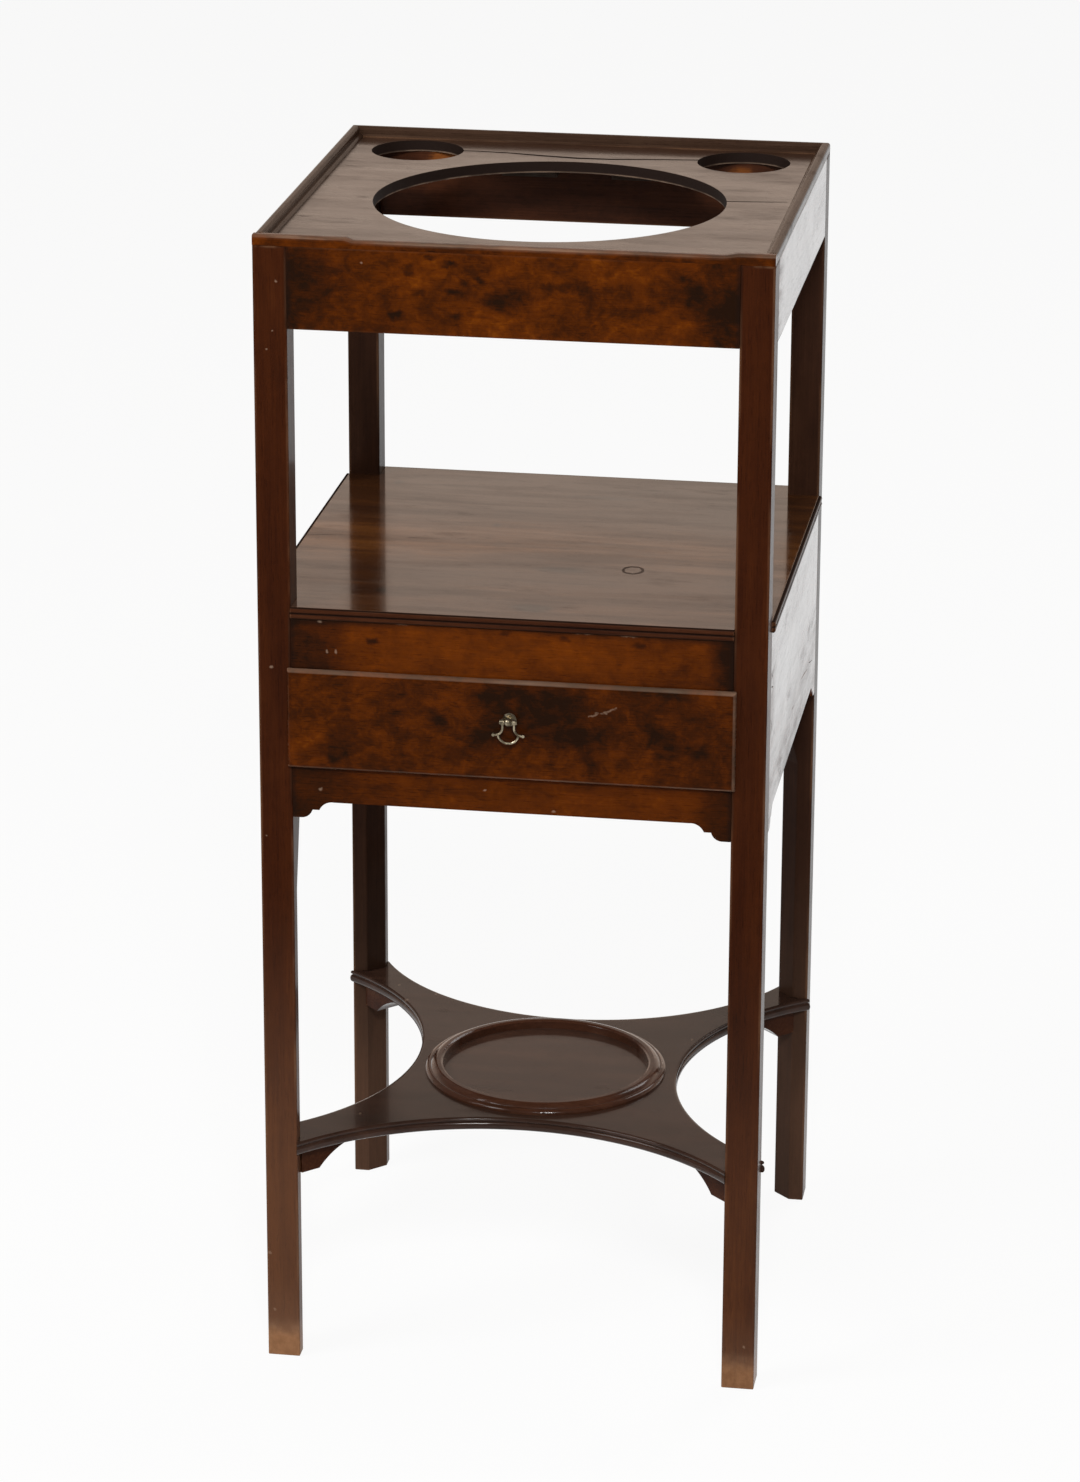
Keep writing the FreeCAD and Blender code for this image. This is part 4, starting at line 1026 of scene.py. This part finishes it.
# Painted highlight along the lip's rounded nose.
painted_nose_highlight = rounded * (0.3 + patches(lip) * 0.7) * 0.34
mahogany(lip, lip.tone(0.15, 0.8) - 0.06, FRONT_TONES, None, painted_nose_highlight, wear=0.0)

ewer_ring = Board("undertier_ring", "x")
joints = [stroke(ewer_ring, (*a, INNER_RIM_Z), (*b, OUTER_RIM_Z), 1.1, 0.8) for a, b in RING_JOINTS]
mahogany(ewer_ring, ewer_ring.tone(0.8, 0.3), RING_TONES, widest(joints) * 0.8, rough=0.18, wear=0.15,
         gloss=1.22, film_rough=0.07, depth_mm=0.025)
print("lip and ring dressed, with", len(RING_JOINTS), "joints in the ring")

# %% [markdown]
# Inside, the maker used cheaper pale wood that was never polished: the drawer's sides and bottom,
# the runners and the glue blocks. It is dusty, dry and rough, with open grain, and has gone brown.
# The same grain serves, with no film over it. The glue blocks under the top are almost black.

# %% Unpolished inner wood
DEAL_TONES = ((0.08, 0.04, 0.019), (0.13, 0.07, 0.034), (0.17, 0.098, 0.05), (0.23, 0.14, 0.075))
SOOTY_TONES = ((0.015, 0.008, 0.005), (0.025, 0.014, 0.008), (0.035, 0.02, 0.012), (0.05, 0.03, 0.018))
DUST = (0.07, 0.05, 0.038)
ALONG_X = ("case_back", "drawer_back", "drawer_bottom", "top_glue_blocks")
ALONG_Y = ("drawer_left_side", "drawer_right_side")
ALONG_Y_KINDS = ("guide", "runner", "kicker")


def plain_deal(name, along):
    board = Board(name, along)
    bands = board.bands()
    tone = 0.5 + bands * 0.8 + board.fibres * 0.6
    tones = SOOTY_TONES if name == "top_glue_blocks" else DEAL_TONES
    colour = board.finish.node("ValToRGB", {"stops": list(zip(TONE_STOPS, tones))}, {0: tone})
    dust = board.finish.noise(board.place, scale=0.03, detail=4, roughness=0.6).between(0.5, 0.75)
    colour = board.finish.colour(dust * 0.35, colour, DUST)
    relief = board.fibres + bands * 0.6
    dress(board, polish(board, colour, 0.7 + board.fibres * 0.2, 0.0, relief, gloss=1.3, depth_mm=0.12))


for name in boards:
    if name in ALONG_X:
        plain_deal(name, "x")
    elif name in ALONG_Y or name.split("_")[-1] in ALONG_Y_KINDS:
        plain_deal(name, "y")
print("inner wood dressed")

# %% [markdown]
# The little drop handle is cast brass, once lacquered, brown with tarnish in patches and bright
# between them. The nails are black iron with a bloom of rust. Both are metals in the shader, and a
# noise lets tarnish or rust, which are hardly metal, take over in places.

# %% Brass and iron
BRIGHT_BRASS = (0.47, 0.4, 0.28)
BROWN_BRASS = (0.095, 0.074, 0.044)
BLACK_IRON = (0.05, 0.047, 0.045)
RUST = (0.12, 0.045, 0.02)


def brass(name):
    metal = Board(name, "z")
    tarnish = metal.finish.noise(metal.place, scale=0.16, detail=3, roughness=0.55).between(0.38, 0.62)
    colour = metal.finish.colour(tarnish, BRIGHT_BRASS, BROWN_BRASS)
    grain = metal.finish.noise(metal.place, scale=2.2, detail=2)
    bump = metal.finish.node("Bump", None, {"Strength": 0.3, "Distance": 0.05 * MM, "Height": grain})
    values = {"Base Color": colour, "Metallic": 1 - tarnish * 0.25, "Normal": bump}
    values["Roughness"] = 0.22 + tarnish * 0.2
    dress(metal, metal.finish.surface(metal.finish.node("BsdfPrincipled", None, values)))


def iron(name):
    metal = Board(name, "z")
    rust = metal.finish.noise(metal.place, scale=0.9, detail=4, roughness=0.7).between(0.45, 0.62)
    colour = metal.finish.colour(rust, BLACK_IRON, RUST)
    values = {"Base Color": colour, "Metallic": 0.9 - rust * 0.8, "Roughness": 0.5 + rust * 0.3}
    dress(metal, metal.finish.surface(metal.finish.node("BsdfPrincipled", None, values)))


for name in boards:
    if name.startswith("handle_"):
        brass(name)
    elif name.endswith("_nails"):
        iron(name)
print("finishes:", len({b.data.materials[0].name for b in boards.values()}))
